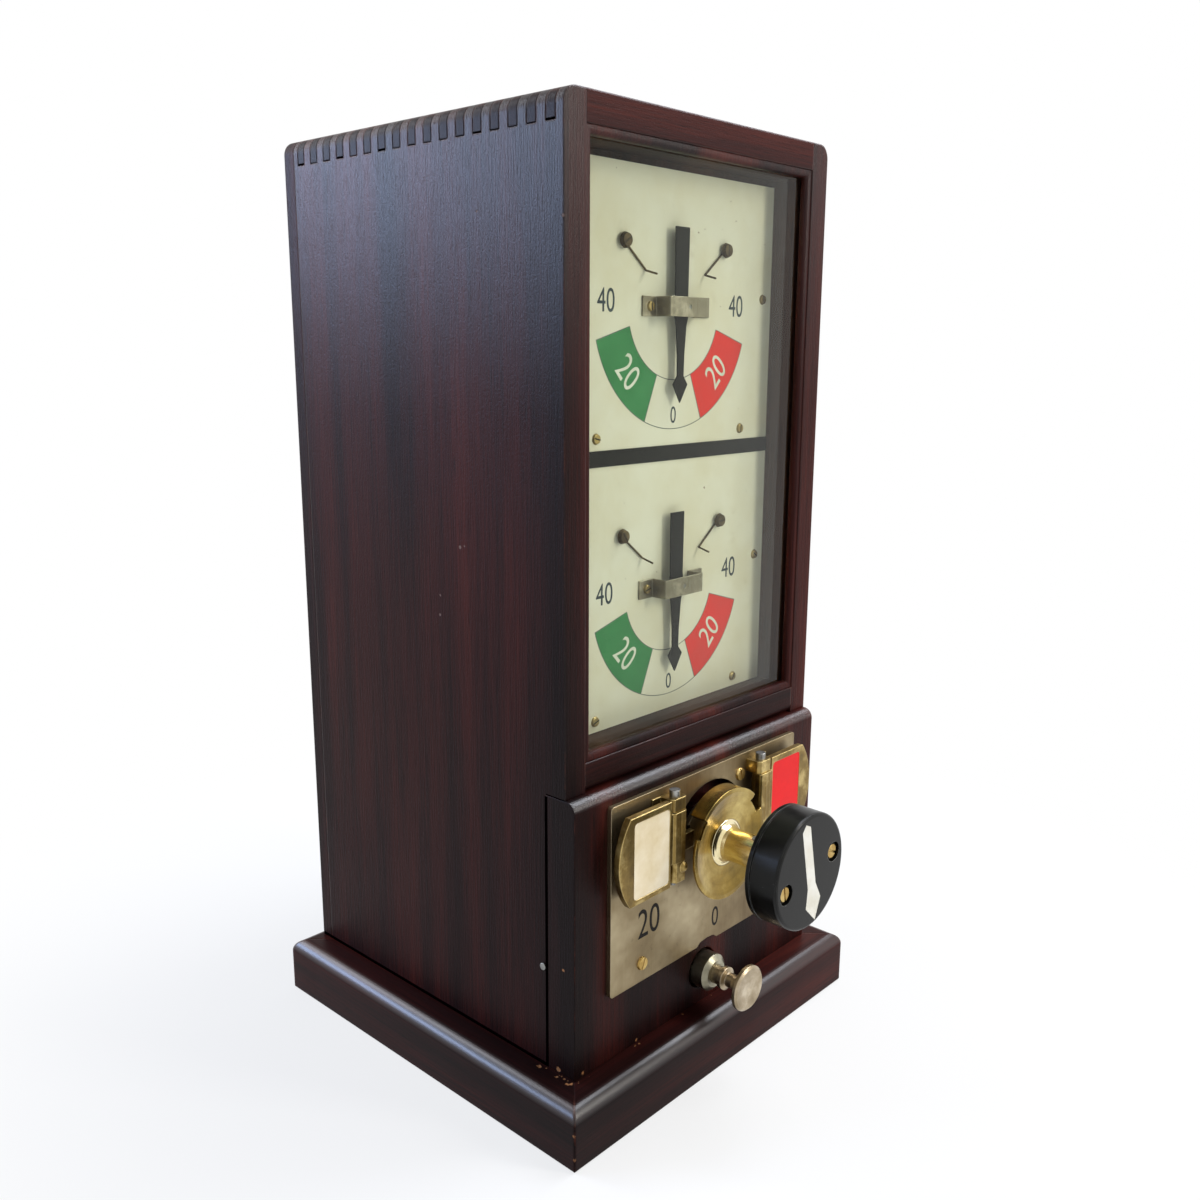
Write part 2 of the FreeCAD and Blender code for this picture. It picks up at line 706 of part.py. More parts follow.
screwsDial = []
screwsBridge = []
screwsStop = []
wires = []
boardHoles = []
for label, (low, high) in dials.items():
    centre = low + dialHeight * dialRise
    screwSpots = []
    for side in (-1, 1):
        screwSpots.append((side * dialScrewX, centre + dialScrewRise))
        screwSpots.append((side * dialScrewLowX, low + dialScrewEdge))
    bridgeSpots = [(side * bridgeScrewX, centre) for side in (-1, 1)]
    plate = plateXZ("Dial" + label, rectanglePoints(-sight, sight, low, high), dialFront, boardFront)
    holesY(plate, [(asSize(0), centre, dialHole)], dialFront, dialPlateThick)
    boardHoles.append((asSize(0), centre, dialHole + boardHolePlay))
    node(plate, "dial_plate_" + label)
    for x, z in screwSpots:
        screwsDial.append(domeY(x, z, dialFront, dialScrewRadius, smallHead))

    bridgeY = dialFront - bridgeFront
    footTop = dialFront - bridgeThick
    wall = bridgeHalf - bridgeThick
    bridge = body("Bridge" + label)
    hat = sketchOn(bridge, "XY", centre - bridgeHeight / 2)
    outline(
        hat,
        [
            (-bridgeFoot, dialFront),
            (-bridgeFoot, footTop),
            (-bridgeHalf, footTop),
            (-bridgeHalf, bridgeY),
            (bridgeHalf, bridgeY),
            (bridgeHalf, footTop),
            (bridgeFoot, footTop),
            (bridgeFoot, dialFront),
            (wall, dialFront),
            (wall, bridgeY + bridgeThick),
            (-wall, bridgeY + bridgeThick),
            (-wall, dialFront),
        ],
    )
    pad(bridge, hat, bridgeHeight)
    holesY(bridge, [(asSize(0), centre, spindleRadius + spindleFit)], bridgeY, bridgeThick)
    roundEdges(bridge, bridgeBend, lambda c: near(abs(c.x), bridgeHalf) and near(c.y, bridgeY))
    node(bridge, "bridge_" + label)
    for x, z in bridgeSpots:
        screwsBridge.append(domeY(x, z, footTop, bridgeScrewRadius, smallHead))

    for side in (-1, 1):
        x = side * stopX
        z = centre + stopZ
        boss = rodY(x, z, stopScrewRadius / 2, dialFront - stopStand, dialFront)
        head = domeY(x, z, dialFront - stopStand, stopScrewRadius, stopHead)
        screwsStop.append(fuse([boss, head]))

    # The left stop wire runs along the dial from its screw, then bends forward beside the needle
    lay = dialFront - wireRadius - wireLift
    tip = (-wireTipX, lay, centre + wireTipZ)
    flat = wireFrom(tip, (wireTipX - stopX, asSize(0), stopZ - wireTipZ), wireEnd)
    nose = wireFrom(tip, (asSize(0), -wireForward, -wireDroop), 0)
    wires.append(fuse([flat, nose]))

    # The needle turns on a spindle carried by the bridge in front and the movement frame behind
    needleFace = dialFront - needleBack - needleThick
    needleRear = dialFront - needleBack
    edge = [
        (needleTailHalf, needleTail),
        (needleWaistHalf, needleWaist),
        (needleHubHalf, needleHubRise),
        (needleHubHalf, -needleHubRise),
        (needleShoulderHalf, -needleShoulder),
        (needleTaperHalf, -needleTaper),
        (needleNeckHalf, -needleNeck),
        (needleArrowHalf, -needleArrow),
    ]
    points = edge + [(asSize(0), -needleTip)] + [(-x, z) for x, z in reversed(edge)]
    needle = plateXZ("Needle" + label, points, needleFace, needleRear, 0, centre)
    holesY(needle, [(asSize(0), centre, spindleRadius + pressFit)], needleFace, needleThick)
    node(needle, "needle_" + label)
    armatureFront = boardBack + armatureGap
    armatureBack = armatureFront + armatureThick
    frameBack = boardBack + frameReach
    spindle = turnedY(
        "Spindle" + label,
        0,
        centre,
        [
            (0, bridgeY + spindleSink),
            (spindleRadius, bridgeY + spindleSink),
            (spindleRadius, needleRear),
            (collarSmall, needleRear),
            (collarSmall, needleRear + collarLong),
            (spindleRadius, needleRear + collarLong),
            (spindleRadius, armatureBack),
            (collarSmall, armatureBack),
            (collarSmall, armatureBack + collarLong),
            (spindleRadius, armatureBack + collarLong),
            (spindleRadius, frameBack + bridgeThick),
            (0, frameBack + bridgeThick),
        ],
    )
    node(spindle, "spindle_" + label)
    armature = plateXZ(
        "Armature" + label,
        rectanglePoints(-armatureHalf, armatureHalf, centre - armatureDrop, centre + armatureHalf),
        armatureFront,
        armatureBack,
    )
    holesY(armature, [(asSize(0), centre, spindleRadius + pressFit)], armatureFront, armatureThick)
    node(armature, "armature_" + label)
    outer = coilInner + coilWidth
    coilLow = centre - armatureDrop - coilBelow
    coilHigh = centre + coilAbove
    coil = plateXZ(
        "Coil" + label,
        rectanglePoints(-outer, outer, coilLow - coilWidth, coilHigh + coilWidth),
        boardBack,
        boardBack + coilDeep,
    )
    frontPocket(
        coil,
        rectanglePoints(-coilInner, coilInner, coilLow, coilHigh),
        boardBack,
        coilDeep,
    )
    node(coil, "coil_" + label)
    leg = outer + frameGap
    legOuter = leg + frameThick
    footBack = boardBack + frameThick
    frame = body("Movement" + label)
    hat = sketchOn(frame, "XY", centre - frameWide / 2)
    outline(
        hat,
        [
            (-legOuter - frameFoot, boardBack),
            (-legOuter - frameFoot, footBack),
            (-legOuter, footBack),
            (-legOuter, frameBack + frameThick),
            (legOuter, frameBack + frameThick),
            (legOuter, footBack),
            (legOuter + frameFoot, footBack),
            (legOuter + frameFoot, boardBack),
            (leg, boardBack),
            (leg, frameBack),
            (-leg, frameBack),
            (-leg, boardBack),
        ],
    )
    pad(frame, hat, frameWide)
    holesY(frame, [(asSize(0), centre, spindleRadius + spindleFit)], frameBack, frameThick)
    node(frame, "movement_frame_" + label)

node(group(screwsDial, "DialScrews"), "dial_screws")
node(group(screwsBridge, "BridgeScrews"), "bridge_screws")
node(group(screwsStop, "StopScrews"), "stop_screws")
wiresLeft = group(wires, "WiresLeft")
node(wiresLeft, "stop_wires_left")
wiresRight = doc.addObject("Part::Mirroring", "WiresRight")
wiresRight.Source = wiresLeft
wiresRight.Normal = Vector(1, 0, 0)
node(wiresRight, "stop_wires_right")
owner = plateXZ(
    "DialBoard",
    rectanglePoints(boardPlay - inside, inside - boardPlay, railTop + boardPlay, topUnder - boardPlay),
    boardFront,
    boardBack,
)
holesY(owner, boardHoles, boardFront, dialBoardThick)
node(owner, "dial_board")
dividerProud = size("DividerProud", 0.5)
dividerLow = dialLow + dialHeight
node(
    box(-sight, sight, dialFront - dividerProud, boardFront, dividerLow, dividerLow + dividerHeight),
    "dial_divider",
)

# Commutator
axisZ = baseHeight + size("CommutatorRise", 107.4)
discRadius = size("DiscRadius", 33)
discBack = size("DiscStandOff", 13.6)
discThick = size("DiscThickness", 1.5)
dishDeep = size("DiscDishDepth", 2.7)
dishFlat = size("DiscFlatRadius", 16)
dishLip = discRadius - size("DiscLipWidth", 2.5)
rimInner = discRadius - size("RimThickness", 3.5)
rimBack = size("RimStandOff", 4.8)
hubTube = size("HubRadius", 9.5)
hubFlareWide = size("HubFlareWidth", 4.5)
hubFoot = hubTube + hubFlareWide
hubFlare = size("HubFlareLength", 8)
hubFront = size("HubFront", 49.2)
shaftRadius = size("ShaftRadius", 5)
shaftFit = size("ShaftClearance", 0.05)
knobRadius = size("KnobRadius", 33.2)
knobThick = size("KnobThickness", 20)
knobScrewRadius = size("KnobScrewRadius", 4.6)
knobScrewHole = knobScrewRadius + size("KnobScrewPlay", 1.2)
knobScrewSink = size("KnobScrewSink", 1)
knobScrewCircle = knobRadius - size("KnobScrewEdge", 9.7)
bushRadius = size("BushRadius", 8)
bushFlange = bushRadius + size("BushFlangeWidth", 4)
drumRadius = size("DrumRadius", 20)
plateThick = size("PlateThickness", 3)
plateHalf = size("PlateSideGap", 24.8)
plateLow = baseHeight + size("PlateRise", 39.5)
plateHigh = coverTop - size("PlateTopMargin", 8.5)
tapperZ = baseHeight + size("TapperRise", 21.6)
collarRadius = size("CollarRadius", 11.2)
tapperHole = collarRadius + size("TapperHolePlay", 1.4)
slotInner = rimInner - size("RimSlotInnerGap", 5.5)
slotOuter = discRadius + size("RimSlotOuterGap", 1.5)
lugTop = axisZ + size("LowerLugTopRise", 0.4)
barLow = lugTop + size("KnuckleGap", 0.5)
hingeX = discRadius + size("HingeGap", 7.7)
fingerEnd = discRadius - size("FingerUnderDisc", 13)
fingerLow = barLow + size("FingerRise", 0.9)
fingerHigh = fingerLow + size("FingerHeight", 9.8)
slotPlay = size("FlapSlotPlay", 1.4)
fingerSlotIn = fingerEnd - slotPlay
fingerSlotOut = hingeX + size("FlapSlotReach", 7.8)
fingerSlotLow = fingerLow - slotPlay
fingerSlotHigh = fingerHigh + slotPlay
hollowWall = size("HollowMargin", 1)
archHalf = size("PlateArchHalf", 9.5)
archHeight = size("PlateArchHeight", 3)
plateScrewRadius = size("PlateScrewRadius", 4)
plateScrewHeight = size("PlateScrewHeadHeight", 1.4)
plateScrewShank = size("PlateScrewShank", 1.6)
plateScrewLength = size("PlateScrewLength", 12)
plateScrewX = size("PlateScrewUpperOffset", 28.5)
plateScrewDrop = size("PlateScrewUpperDrop", 12.5)
plateScrewLowX = size("PlateScrewLowerOffset", 59.6)
plateScrewRise = size("PlateScrewLowerRise", 11)
fingerHollow = size("FingerHollowDepth", 14)
rimHollow = size("RimHollowDepth", 10)
plateCorner = size("PlateCornerRadius", 2)
bushPlay = size("BushHolePlay", 0.3)
slotStart = -10
slotSweep = 200

plateFront = coverFront - plateThick
plateSide = halfWidth - plateHalf

# Wooden cover with its rounded top edge and the hollows behind the brass plate
owner = plateXZ(
    "Cover",
    rectanglePoints(-halfWidth, halfWidth, baseHeight, coverTop),
    coverFront,
    coverBack,
)
roundEdges(owner, coverRound, lambda c: near(c.y, coverFront) and near(c.z, coverTop))
holesY(
    owner,
    [(asSize(0), axisZ, bushRadius + bushPlay), (asSize(0), tapperZ, tapperHole)],
    coverFront,
    coverThick,
)
screwHoles = []
for side in (-1, 1):
    screwHoles.append((side * plateScrewX, plateHigh - plateScrewDrop, plateScrewShank + drillPlay))
    screwHoles.append((side * plateScrewLowX, plateLow + plateScrewRise, plateScrewShank + drillPlay))
holesY(owner, screwHoles, coverFront, plateScrewLength)
for side in (-1, 1):
    xa, xb = ordered(side * (fingerSlotIn - hollowWall), side * (fingerSlotOut + hollowWall))
    points = rectanglePoints(xa, xb, fingerSlotLow - hollowWall, fingerSlotHigh + hollowWall)
    frontPocket(owner, points, coverFront, fingerHollow)
ring = sectorY(
    0,
    axisZ,
    slotInner - hollowWall,
    slotOuter + hollowWall,
    coverFront - 1,
    coverFront + rimHollow,
    slotStart,
    slotSweep,
)
node(cut(owner, [ring], "CoverBoard"), "commutator_cover")

# Brass plate: half-round slot above the bush, two slots for the flap fingers, an arch over the tapper
owner = plateXZ(
    "Plate",
    [
        (-plateSide, plateLow),
        (-archHalf, plateLow),
        (-archHalf * 0.7, plateLow + archHeight * 0.75),
        (asSize(0), plateLow + archHeight),
        (archHalf * 0.7, plateLow + archHeight * 0.75),
        (archHalf, plateLow),
        (plateSide, plateLow),
        (plateSide, plateHigh),
        (-plateSide, plateHigh),
    ],
    plateFront,
    coverFront,
)
holesY(owner, [(asSize(0), axisZ, bushRadius + bushPlay)] + screwHoles, plateFront, plateThick)
for side in (-1, 1):
    xa, xb = ordered(side * fingerSlotIn, side * fingerSlotOut)
    frontPocket(owner, rectanglePoints(xa, xb, fingerSlotLow, fingerSlotHigh), plateFront, plateThick)
roundEdges(
    owner,
    plateCorner,
    lambda c: near(abs(c.x), plateSide) and (near(c.z, plateLow) or near(c.z, plateHigh)),
)
ring = sectorY(0, axisZ, slotInner, slotOuter, plateFront - 1, coverFront + 1, slotStart, slotSweep)
node(cut(owner, [ring], "BrassPlate"), "commutator_plate")
screws = []
for i, (x, z, _) in enumerate(screwHoles):
    screws.append(
        screwY(
            x,
            z,
            plateFront,
            plateScrewRadius,
            plateScrewHeight,
            plateScrewShank,
            plateScrewLength + plateThick - 1,
            25 + 41 * i,
        )
    )
node(group(screws, "PlateScrews"), "plate_screws")

bushProud = size("BushProud", 2)
bushFront = plateFront - bushProud
bush = turnedY(
    "Bush",
    0,
    axisZ,
    [
        (shaftRadius + shaftFit, bushFront),
        (bushFlange, bushFront),
        (bushFlange, plateFront),
        (bushRadius, plateFront),
        (bushRadius, coverBack + bushProud),
        (shaftRadius + shaftFit, coverBack + bushProud),
    ],
)
node(bush, "bearing_bush")

# Turned disc: a dished face that sinks towards the hub, with part of a rim behind it, notched on
# both sides
discFront = plateFront - discBack - discThick
discRear = plateFront - discBack
dishY = discFront + dishDeep
bore = shaftRadius + pressFit
dishRun = dishLip - dishFlat
dishCurve = []
for step in range(6):
    share = step / 5
    dishCurve.append((dishFlat + dishRun * share, dishY - dishDeep * share * share))
dishCurve.append((discRadius, discFront))
behind = [(radius, y + discThick) for radius, y in reversed(dishCurve)]
dish = turnedY("Disc", 0, axisZ, [(bore, dishY)] + dishCurve + behind + [(bore, dishY + discThick)])
notchInner = discRadius - size("DiscNotchDepth", 4.7)
rimLip = size("RimLip", 4)
leftNotch = (138, 21)
rightNotch = (24, 22)
rimStart = 72
lipStart = 46
notches = []
for start, sweep in (leftNotch, rightNotch):
    notches.append(sectorY(0, axisZ, notchInner, discRadius + 1, discFront - 1, discRear + 1, start, sweep))
rimEnd = plateFront - rimBack
fullSweep = leftNotch[0] - rimStart
fullRim = sectorY(0, axisZ, rimInner, discRadius, discRear, rimEnd, rimStart, fullSweep)
lipSweep = rimStart - lipStart + 0.5
lowRim = sectorY(0, axisZ, rimInner, discRadius, discRear + rimLip, rimEnd, lipStart, lipSweep)
disc = fuse([cut(dish, notches), fullRim, lowRim], "CommutatorDisc")
node(disc, "commutator_disc")

hubFace = size("HubFaceThickness", 4)
hubEnd = plateFront - hubFront
knobBack = hubEnd
knobFront = knobBack - knobThick
boreEnd = hubEnd + hubFace
hubCurve = []
for step in range(6):
    share = step / 5
    rest = 1 - share
    hubCurve.append((hubTube + hubFlareWide * share * share, dishY - hubFlare * rest * rest))
hub = turnedY(
    "Hub",
    0,
    axisZ,
    [
        (0, hubEnd),
        (hubTube, hubEnd),
    ]
    + hubCurve
    + [
        (bore, dishY),
        (bore, boreEnd),
        (0, boreEnd),
    ],
)
grubRadius = size("GrubScrewRadius", 2)
grubTurn = size("GrubScrewAngle", 10)
grubInset = size("GrubScrewInset", 15.5)
grubProud = size("GrubScrewProud", 0.5)
grubY = hubEnd + grubInset
grubTilt = Rotation(Vector(0, 1, 0), -grubTurn.value)


def radialRod(radius, start, end):
    rod = doc.addObject("Part::Cylinder", newName("Rod"))
    bind(rod, "Radius", radius)
    bind(rod, "Height", asSize(end) - start)
    reach = grubTilt.multVec(Vector(0, 0, 1))
    place(rod, asSize(start) * reach.x, grubY, axisZ + asSize(start) * reach.z, grubTilt)
    return rod


node(
    cut(hub, [radialRod(grubRadius + drillPlay, shaftRadius + 1, hubTube + 2)], "HubDrilled"),
    "commutator_hub",
)
node(radialRod(grubRadius, shaftRadius + 1, hubTube + grubProud), "hub_screw")

drumGap = size("DrumGap", 4)
drumLength = size("DrumLength", 28)
nutRadius = size("ShaftNutRadius", 9)
nutThick = size("ShaftNutThickness", 3)
drumFront = coverBack + drumGap
drumBack = drumFront + drumLength
shaft = turnedY(
    "Shaft",
    0,
    axisZ,
    [
        (0, boreEnd),
        (shaftRadius, boreEnd),
        (shaftRadius, drumBack),
        (nutRadius, drumBack),
        (nutRadius, drumBack + nutThick),
        (0, drumBack + nutThick),
    ],
)
node(shaft, "commutator_shaft")
drum = turnedY(
    "Drum",
    0,
    axisZ,
    [
        (bore, drumFront),
        (drumRadius, drumFront),
        (drumRadius, drumBack),
        (bore, drumBack),
    ],
)
node(drum, "commutator_drum")

# Knob with a shallow groove, an inlaid pointer and two screws let into its face
pointerTurn = 12
inlayDeep = size("PointerInlayDepth", 1.6)
inlayPlay = size("PointerClearance", 0.08)
pointerHalf = size("PointerHalfWidth", 3.85)
pointerProud = size("PointerProud", 0.05)
pointerFlare = size("PointerFlareHalfWidth", 7.3)
pointerTop = knobRadius - size("PointerTopMargin", 3.2)
pointerTip = knobRadius - size("PointerTipMargin", 1.9)
knobRound = size("KnobEdgeRadius", 1.8)
grooveInset = size("KnobGrooveInset", 2.8)
grooveHalf = size("KnobGrooveHalfWidth", 0.5)
grooveDeep = size("KnobGrooveDepth", 0.8)
pointerChamfer = size("PointerTopChamfer", 3)
pointerWaist = size("PointerWaistDrop", 9)
pointerShoulder = size("PointerShoulderDrop", 20)
knob = turnedY(
    "Knob",
    0,
    axisZ,
    [
        (0, knobFront),
        (knobRadius - knobRound, knobFront),
        (knobRadius - knobRound * 0.5, knobFront + knobRound * 0.134),
        (knobRadius - knobRound * 0.134, knobFront + knobRound * 0.5),
        (knobRadius, knobFront + knobRound),
        (knobRadius, knobBack - grooveInset - grooveHalf),
        (knobRadius - grooveDeep, knobBack - grooveInset),
        (knobRadius, knobBack - grooveInset + grooveHalf),
        (knobRadius, knobBack),
        (0, knobBack),
    ],
)


def pointerShape(slack):
    half = pointerHalf + slack
    flare = pointerFlare + slack
    return [
        (-half, pointerTop - pointerChamfer),
        (asSize(0), pointerTop + slack),
        (half, pointerTop - pointerChamfer),
        (half, -pointerWaist),
        (flare, -pointerShoulder),
        (asSize(0), -pointerTip - slack),
        (-flare, -pointerShoulder),
        (-half, -pointerWaist),
    ]


frontPocket(knob, pointerShape(inlayPlay), knobFront, inlayDeep, 0, axisZ, pointerTurn)
screwSpots = []
knobScrewTurns = (-167, 11)
for angle in knobScrewTurns:
    way = Rotation(Vector(0, 1, 0), -angle).multVec(Vector(1, 0, 0))
    screwSpots.append((knobScrewCircle * way.x, axisZ + knobScrewCircle * way.z))
headDeep = size("KnobScrewHeadDepth", 2)
knobScrewLength = size("KnobScrewLength", 9)
shankY = knobFront + knobScrewSink + headDeep
holesY(knob, [(x, z, knobScrewHole) for x, z in screwSpots], knobFront, knobScrewSink + headDeep)
holesY(knob, [(x, z, plateScrewShank + drillPlay) for x, z in screwSpots], shankY, knobScrewLength + 1)
node(knob, "commutator_knob")
node(
    plateXZ(
        "Pointer",
        pointerShape(0),
        knobFront - pointerProud,
        knobFront + inlayDeep,
        0,
        axisZ,
        pointerTurn,
    ),
    "knob_pointer",
)
screws = []
for i, (x, z) in enumerate(screwSpots):
    screws.append(
        screwY(x, z, shankY, knobScrewRadius, headDeep, plateScrewShank, knobScrewLength, 100 + 55 * i)
    )
node(group(screws, "KnobScrews"), "knob_screws")

# Hinged flaps beside the commutator, each with a finger that reaches in behind the disc rim
hingeStand = size("HingeStandOff", 6)
lugHalf = size("LugHalfWidth", 6)
lugFront = size("LugFront", 10.2)
upperLugHigh = plateHigh - size("UpperLugDrop", 4.5)
upperLugLow = upperLugHigh - size("UpperLugHeight", 7.5)
lowerLugLow = lugTop - size("LowerLugHeight", 11.8)
lugClip = size("LugCornerClip", 1.4)
lugClipDeep = size("LugCornerClipDepth", 2.24)
studRadius = size("StudRadius", 3.3)
studX = discRadius + size("StudDiscGap", 0.5) + studRadius
studY = size("StudStand", 3.2)
studZ = lugTop - size("StudDrop", 3.6)
lowerLugIn = hingeX - discRadius - size("LowerLugDiscGap", 1)
lowerLugOut = size("LowerLugOutward", 3.5)
barGap = size("KnuckleTopGap", 0.4)
barRadius = size("KnuckleRadius", 5)
barHalf = size("KnuckleHalfWidth", 5.3)
barFront = size("KnuckleFront", 4.9)
barClip = size("KnuckleCornerClip", 1.1)
pinRadius = size("HingePinRadius", 1.5)
pinFit = size("HingePinClearance", 0.05)
pinHead = size("HingePinHeadRadius", 3)
flapLow = lowerLugLow - size("FlapBelowLug", 1)
flapHigh = upperLugHigh - size("FlapTopDrop", 0.5)
flapInner = hingeX + size("FlapInnerGap", 6.8)
flapReach = flapInner + size("FlapWidth", 42.5)
flapRadius = size("FlapArcRadius", 39.9)
flapFront = size("FlapStandOff", 9.7)
flapThick = size("FlapThickness", 4)
panelInner = flapInner + size("FlapFrameInner", 1.4)
panelOuter = flapReach - size("FlapFrameOuter", 11.9)
panelLow = flapLow + size("FlapFrameBelow", 3)
panelHigh = flapHigh - size("FlapFrameAbove", 3.5)
panelCorner = size("PanelCornerRadius", 2)
panelDeep = size("PanelDepth", 1.2)
panelPlay = size("PanelClearance", 0.1)
fingerBackY = size("FingerBackGapToPlate", 0.6)
fingerDeep = size("FingerThickness", 3.6)
strapThick = size("BracketStrapThickness", 1)
strapGap = size("BracketStrapGap", 1)
strapWide = size("BracketStrapWidth", 4)
pinTail = size("HingePinTail", 2.5)
pinCap = size("HingePinCapHeight", 4)
webSink = size("FlapWebSink", 0.5)
panelSink = size("PanelSink", 0.2)

hingeY = plateFront - hingeStand
pins = []
for side, label in ((-1, "left"), (1, "right")):
    axisX = side * hingeX

    def lugPoints(inward, outward, s=side, x=axisX):
        near0 = x - s * inward
        far = x + s * outward
        frontY = plateFront - lugFront
        return [
            (near0, plateFront),
            (near0, frontY + lugClipDeep),
            (near0 + s * lugClip, frontY),
            (far - s * lugClip, frontY),
            (far, frontY + lugClipDeep),
            (far, plateFront),
        ]

    lugs = []
    for low, high, inward, outward in (
        (upperLugLow, upperLugHigh, lugHalf, lugHalf),
        (lowerLugLow, lugTop, lowerLugIn, lowerLugOut),
    ):
        lug = body("Lug" + label + str(len(lugs)))
        sketch = sketchOn(lug, "XY", low)
        outline(sketch, lugPoints(inward, outward))
        pad(lug, sketch, high - low)
        lugs.append(lug)
    bore = rodZ(axisX, hingeY, pinRadius + pinFit, lowerLugLow - 1, upperLugHigh + 1)
    # A thin strap on the plate joins the two lugs outside the finger's slot
    strapIn = side * (fingerSlotOut + strapGap)
    strapOut = side * (fingerSlotOut + strapGap + strapWide)
    strapFront = plateFront - strapThick
    strap = [
        box(strapIn, strapOut, strapFront, plateFront, lowerLugLow, upperLugHigh),
        box(axisX, strapOut, strapFront, plateFront, lowerLugLow, lugTop),
        box(axisX, strapOut, strapFront, plateFront, upperLugLow, upperLugHigh),
    ]
    # A round stud on the lower lug stands beside the disc
    stud = ball(side * studX, hingeY - studY, studZ, studRadius)
    bracket = cut(fuse(lugs + strap + [stud]), [bore], "Bracket" + label)
    node(bracket, "flap_bracket_" + label)
    pinRod = rodZ(axisX, hingeY, pinRadius, lowerLugLow - pinTail, upperLugHigh + pinCap / 2)
    pinTop = rodZ(axisX, hingeY, pinHead, upperLugHigh, upperLugHigh + pinCap)
    pins.append(fuse([pinRod, pinTop]))

    outline0 = box(
        side * flapInner,
        side * flapReach,
        plateFront - flapFront,
        plateFront - flapFront + flapThick,
        flapLow,
        flapHigh,
    )
    middle = (flapLow + flapHigh) / 2
    round0 = rodY(
        side * (flapReach - flapRadius),
        middle,
        flapRadius,
        plateFront - flapFront - 1,
        plateFront - flapFront + flapThick + 1,
    )
    knuckleTop = upperLugLow - barGap
    knuckle = body("Knuckle" + label)
    sketch = sketchOn(knuckle, "XY", barLow, axisX, hingeY)
    clipBack = barClip - barFront
    points = [
        (-barHalf, asSize(0)),
        (-barHalf, clipBack),
        (barClip - barHalf, -barFront),
        (barHalf - barClip, -barFront),
        (barHalf, clipBack),
        (barHalf, asSize(0)),
    ]
    outline(sketch, points)
    pad(knuckle, sketch, knuckleTop - barLow)
    barrel = rodZ(axisX, hingeY, barRadius, barLow, knuckleTop)
    web = box(
        side * (flapInner + 1),
        axisX,
        plateFront - flapFront,
        plateFront - flapFront + flapThick - webSink,
        barLow,
        knuckleTop,
    )
    finger = box(
        axisX,
        side * fingerEnd,
        plateFront - fingerBackY - fingerDeep,
        plateFront - fingerBackY,
        fingerLow,
        fingerHigh,
    )
    pinHole = rodZ(axisX, hingeY, pinRadius + pinFit, barLow - 1, knuckleTop + 1)
    faceY = plateFront - flapFront
    window = softRectangle(side * panelInner, side * panelOuter, panelLow, panelHigh, panelCorner)
    recess = plateXZ("Recess" + label, window, faceY - 1, faceY + panelDeep)
    plate = common([outline0, round0])
    flap = cut(fuse([plate, knuckle, barrel, web, finger]), [pinHole, recess], "Flap" + label)
    node(flap, "flap_" + label)
    window = softRectangle(
        side * (panelInner + panelPlay),
        side * (panelOuter - panelPlay),
        panelLow + panelPlay,
        panelHigh - panelPlay,
        panelCorner,
    )
    panel = plateXZ("Panel" + label, window, faceY + panelSink, faceY + panelDeep)
    node(panel, "flap_panel_" + label)
node(group(pins, "FlapPins"), "flap_pins")

# Tapper key: a plunger in a nickelled collar, pushed back out by a flat spring
collarFront = size("CollarFront", 10.7)
plungerRadius = size("PlungerRadius", 5.5)
plungerFit = size("PlungerClearance", 0.05)
headRadius = size("TapperHeadRadius", 13.6)
headFront = size("TapperHeadFront", 35.2)
travel = size("TapperTravel", 3.5)
flangeRadius = size("CollarFlangeRadius", 17)
flangeThick = size("CollarFlangeThickness", 3)
bladeThick = size("SpringThickness", 0.7)
bladeHalf = size("SpringHalfWidth", 5)
collarLip = size("CollarLip", 3)
collarStep = size("CollarStep", 2.4)
headThick = size("TapperHeadThickness", 3.2)
headBevel = size("TapperHeadBevel", 1.2)
headHollow = size("TapperFaceHollow", 0.9)
throatLong = size("TapperThroatLength", 11)
throatRadius = size("TapperThroatRadius", 4.3)
ringRadius = size("TapperRingRadius", 6.9)
ringStart = size("TapperRingStart", 16.5)
ringWide = size("TapperRingWidth", 2.6)
keeperGap = size("KeeperGap", 0.3)
keeperRim = size("KeeperRim", 3)
keeperThick = size("KeeperThickness", 2)
plungerTail = size("PlungerTail", 6)
bladeGap = size("SpringGap", 0.2)
bladeLow = size("SpringLowReach", 8)
contactLow = size("ContactLowRise", 26)
contactHigh = size("ContactHighRise", 44)
contactSide = size("ContactSideMargin", 3)

collarY = coverFront - collarFront
flangeY = coverBack + flangeThick
collar = turnedY(
    "Collar",
    0,
    tapperZ,
    [
        (plungerRadius + plungerFit, collarY),
        (collarRadius - collarLip, collarY),
        (collarRadius, collarY + collarStep),
        (collarRadius, coverBack),
        (flangeRadius, coverBack),
        (flangeRadius, flangeY),
        (plungerRadius + plungerFit, flangeY),
    ],
)
node(collar, "tapper_collar")
headY = coverFront - headFront
keeperY = flangeY + keeperGap
plungerBack = keeperY + plungerTail
ringY = headY + ringStart
plunger = turnedY(
    "Plunger",
    0,
    tapperZ,
    [
        (0, headY + headHollow),
        (headRadius - headBevel, headY),
        (headRadius, headY + headBevel),
        (headRadius, headY + headThick),
        (headRadius * 0.66, headY + headThick * 1.375),
        (headRadius * 0.46, headY + throatLong * 0.64),
        (throatRadius, headY + throatLong),
        (throatRadius, ringY - ringWide / 2),
        (ringRadius, ringY),
        (ringRadius, ringY + ringWide),
        (plungerRadius, ringY + ringWide),
        (plungerRadius, keeperY),
        (plungerRadius + keeperRim, keeperY),
        (plungerRadius + keeperRim, keeperY + keeperThick),
        (plungerRadius, keeperY + keeperThick),
        (plungerRadius, plungerBack),
        (0, plungerBack),
    ],
)
node(plunger, "tapper_plunger")
blockTop = tapperZ + contactHigh
blockLow = tapperZ + contactLow
blockHalf = bladeHalf + contactSide
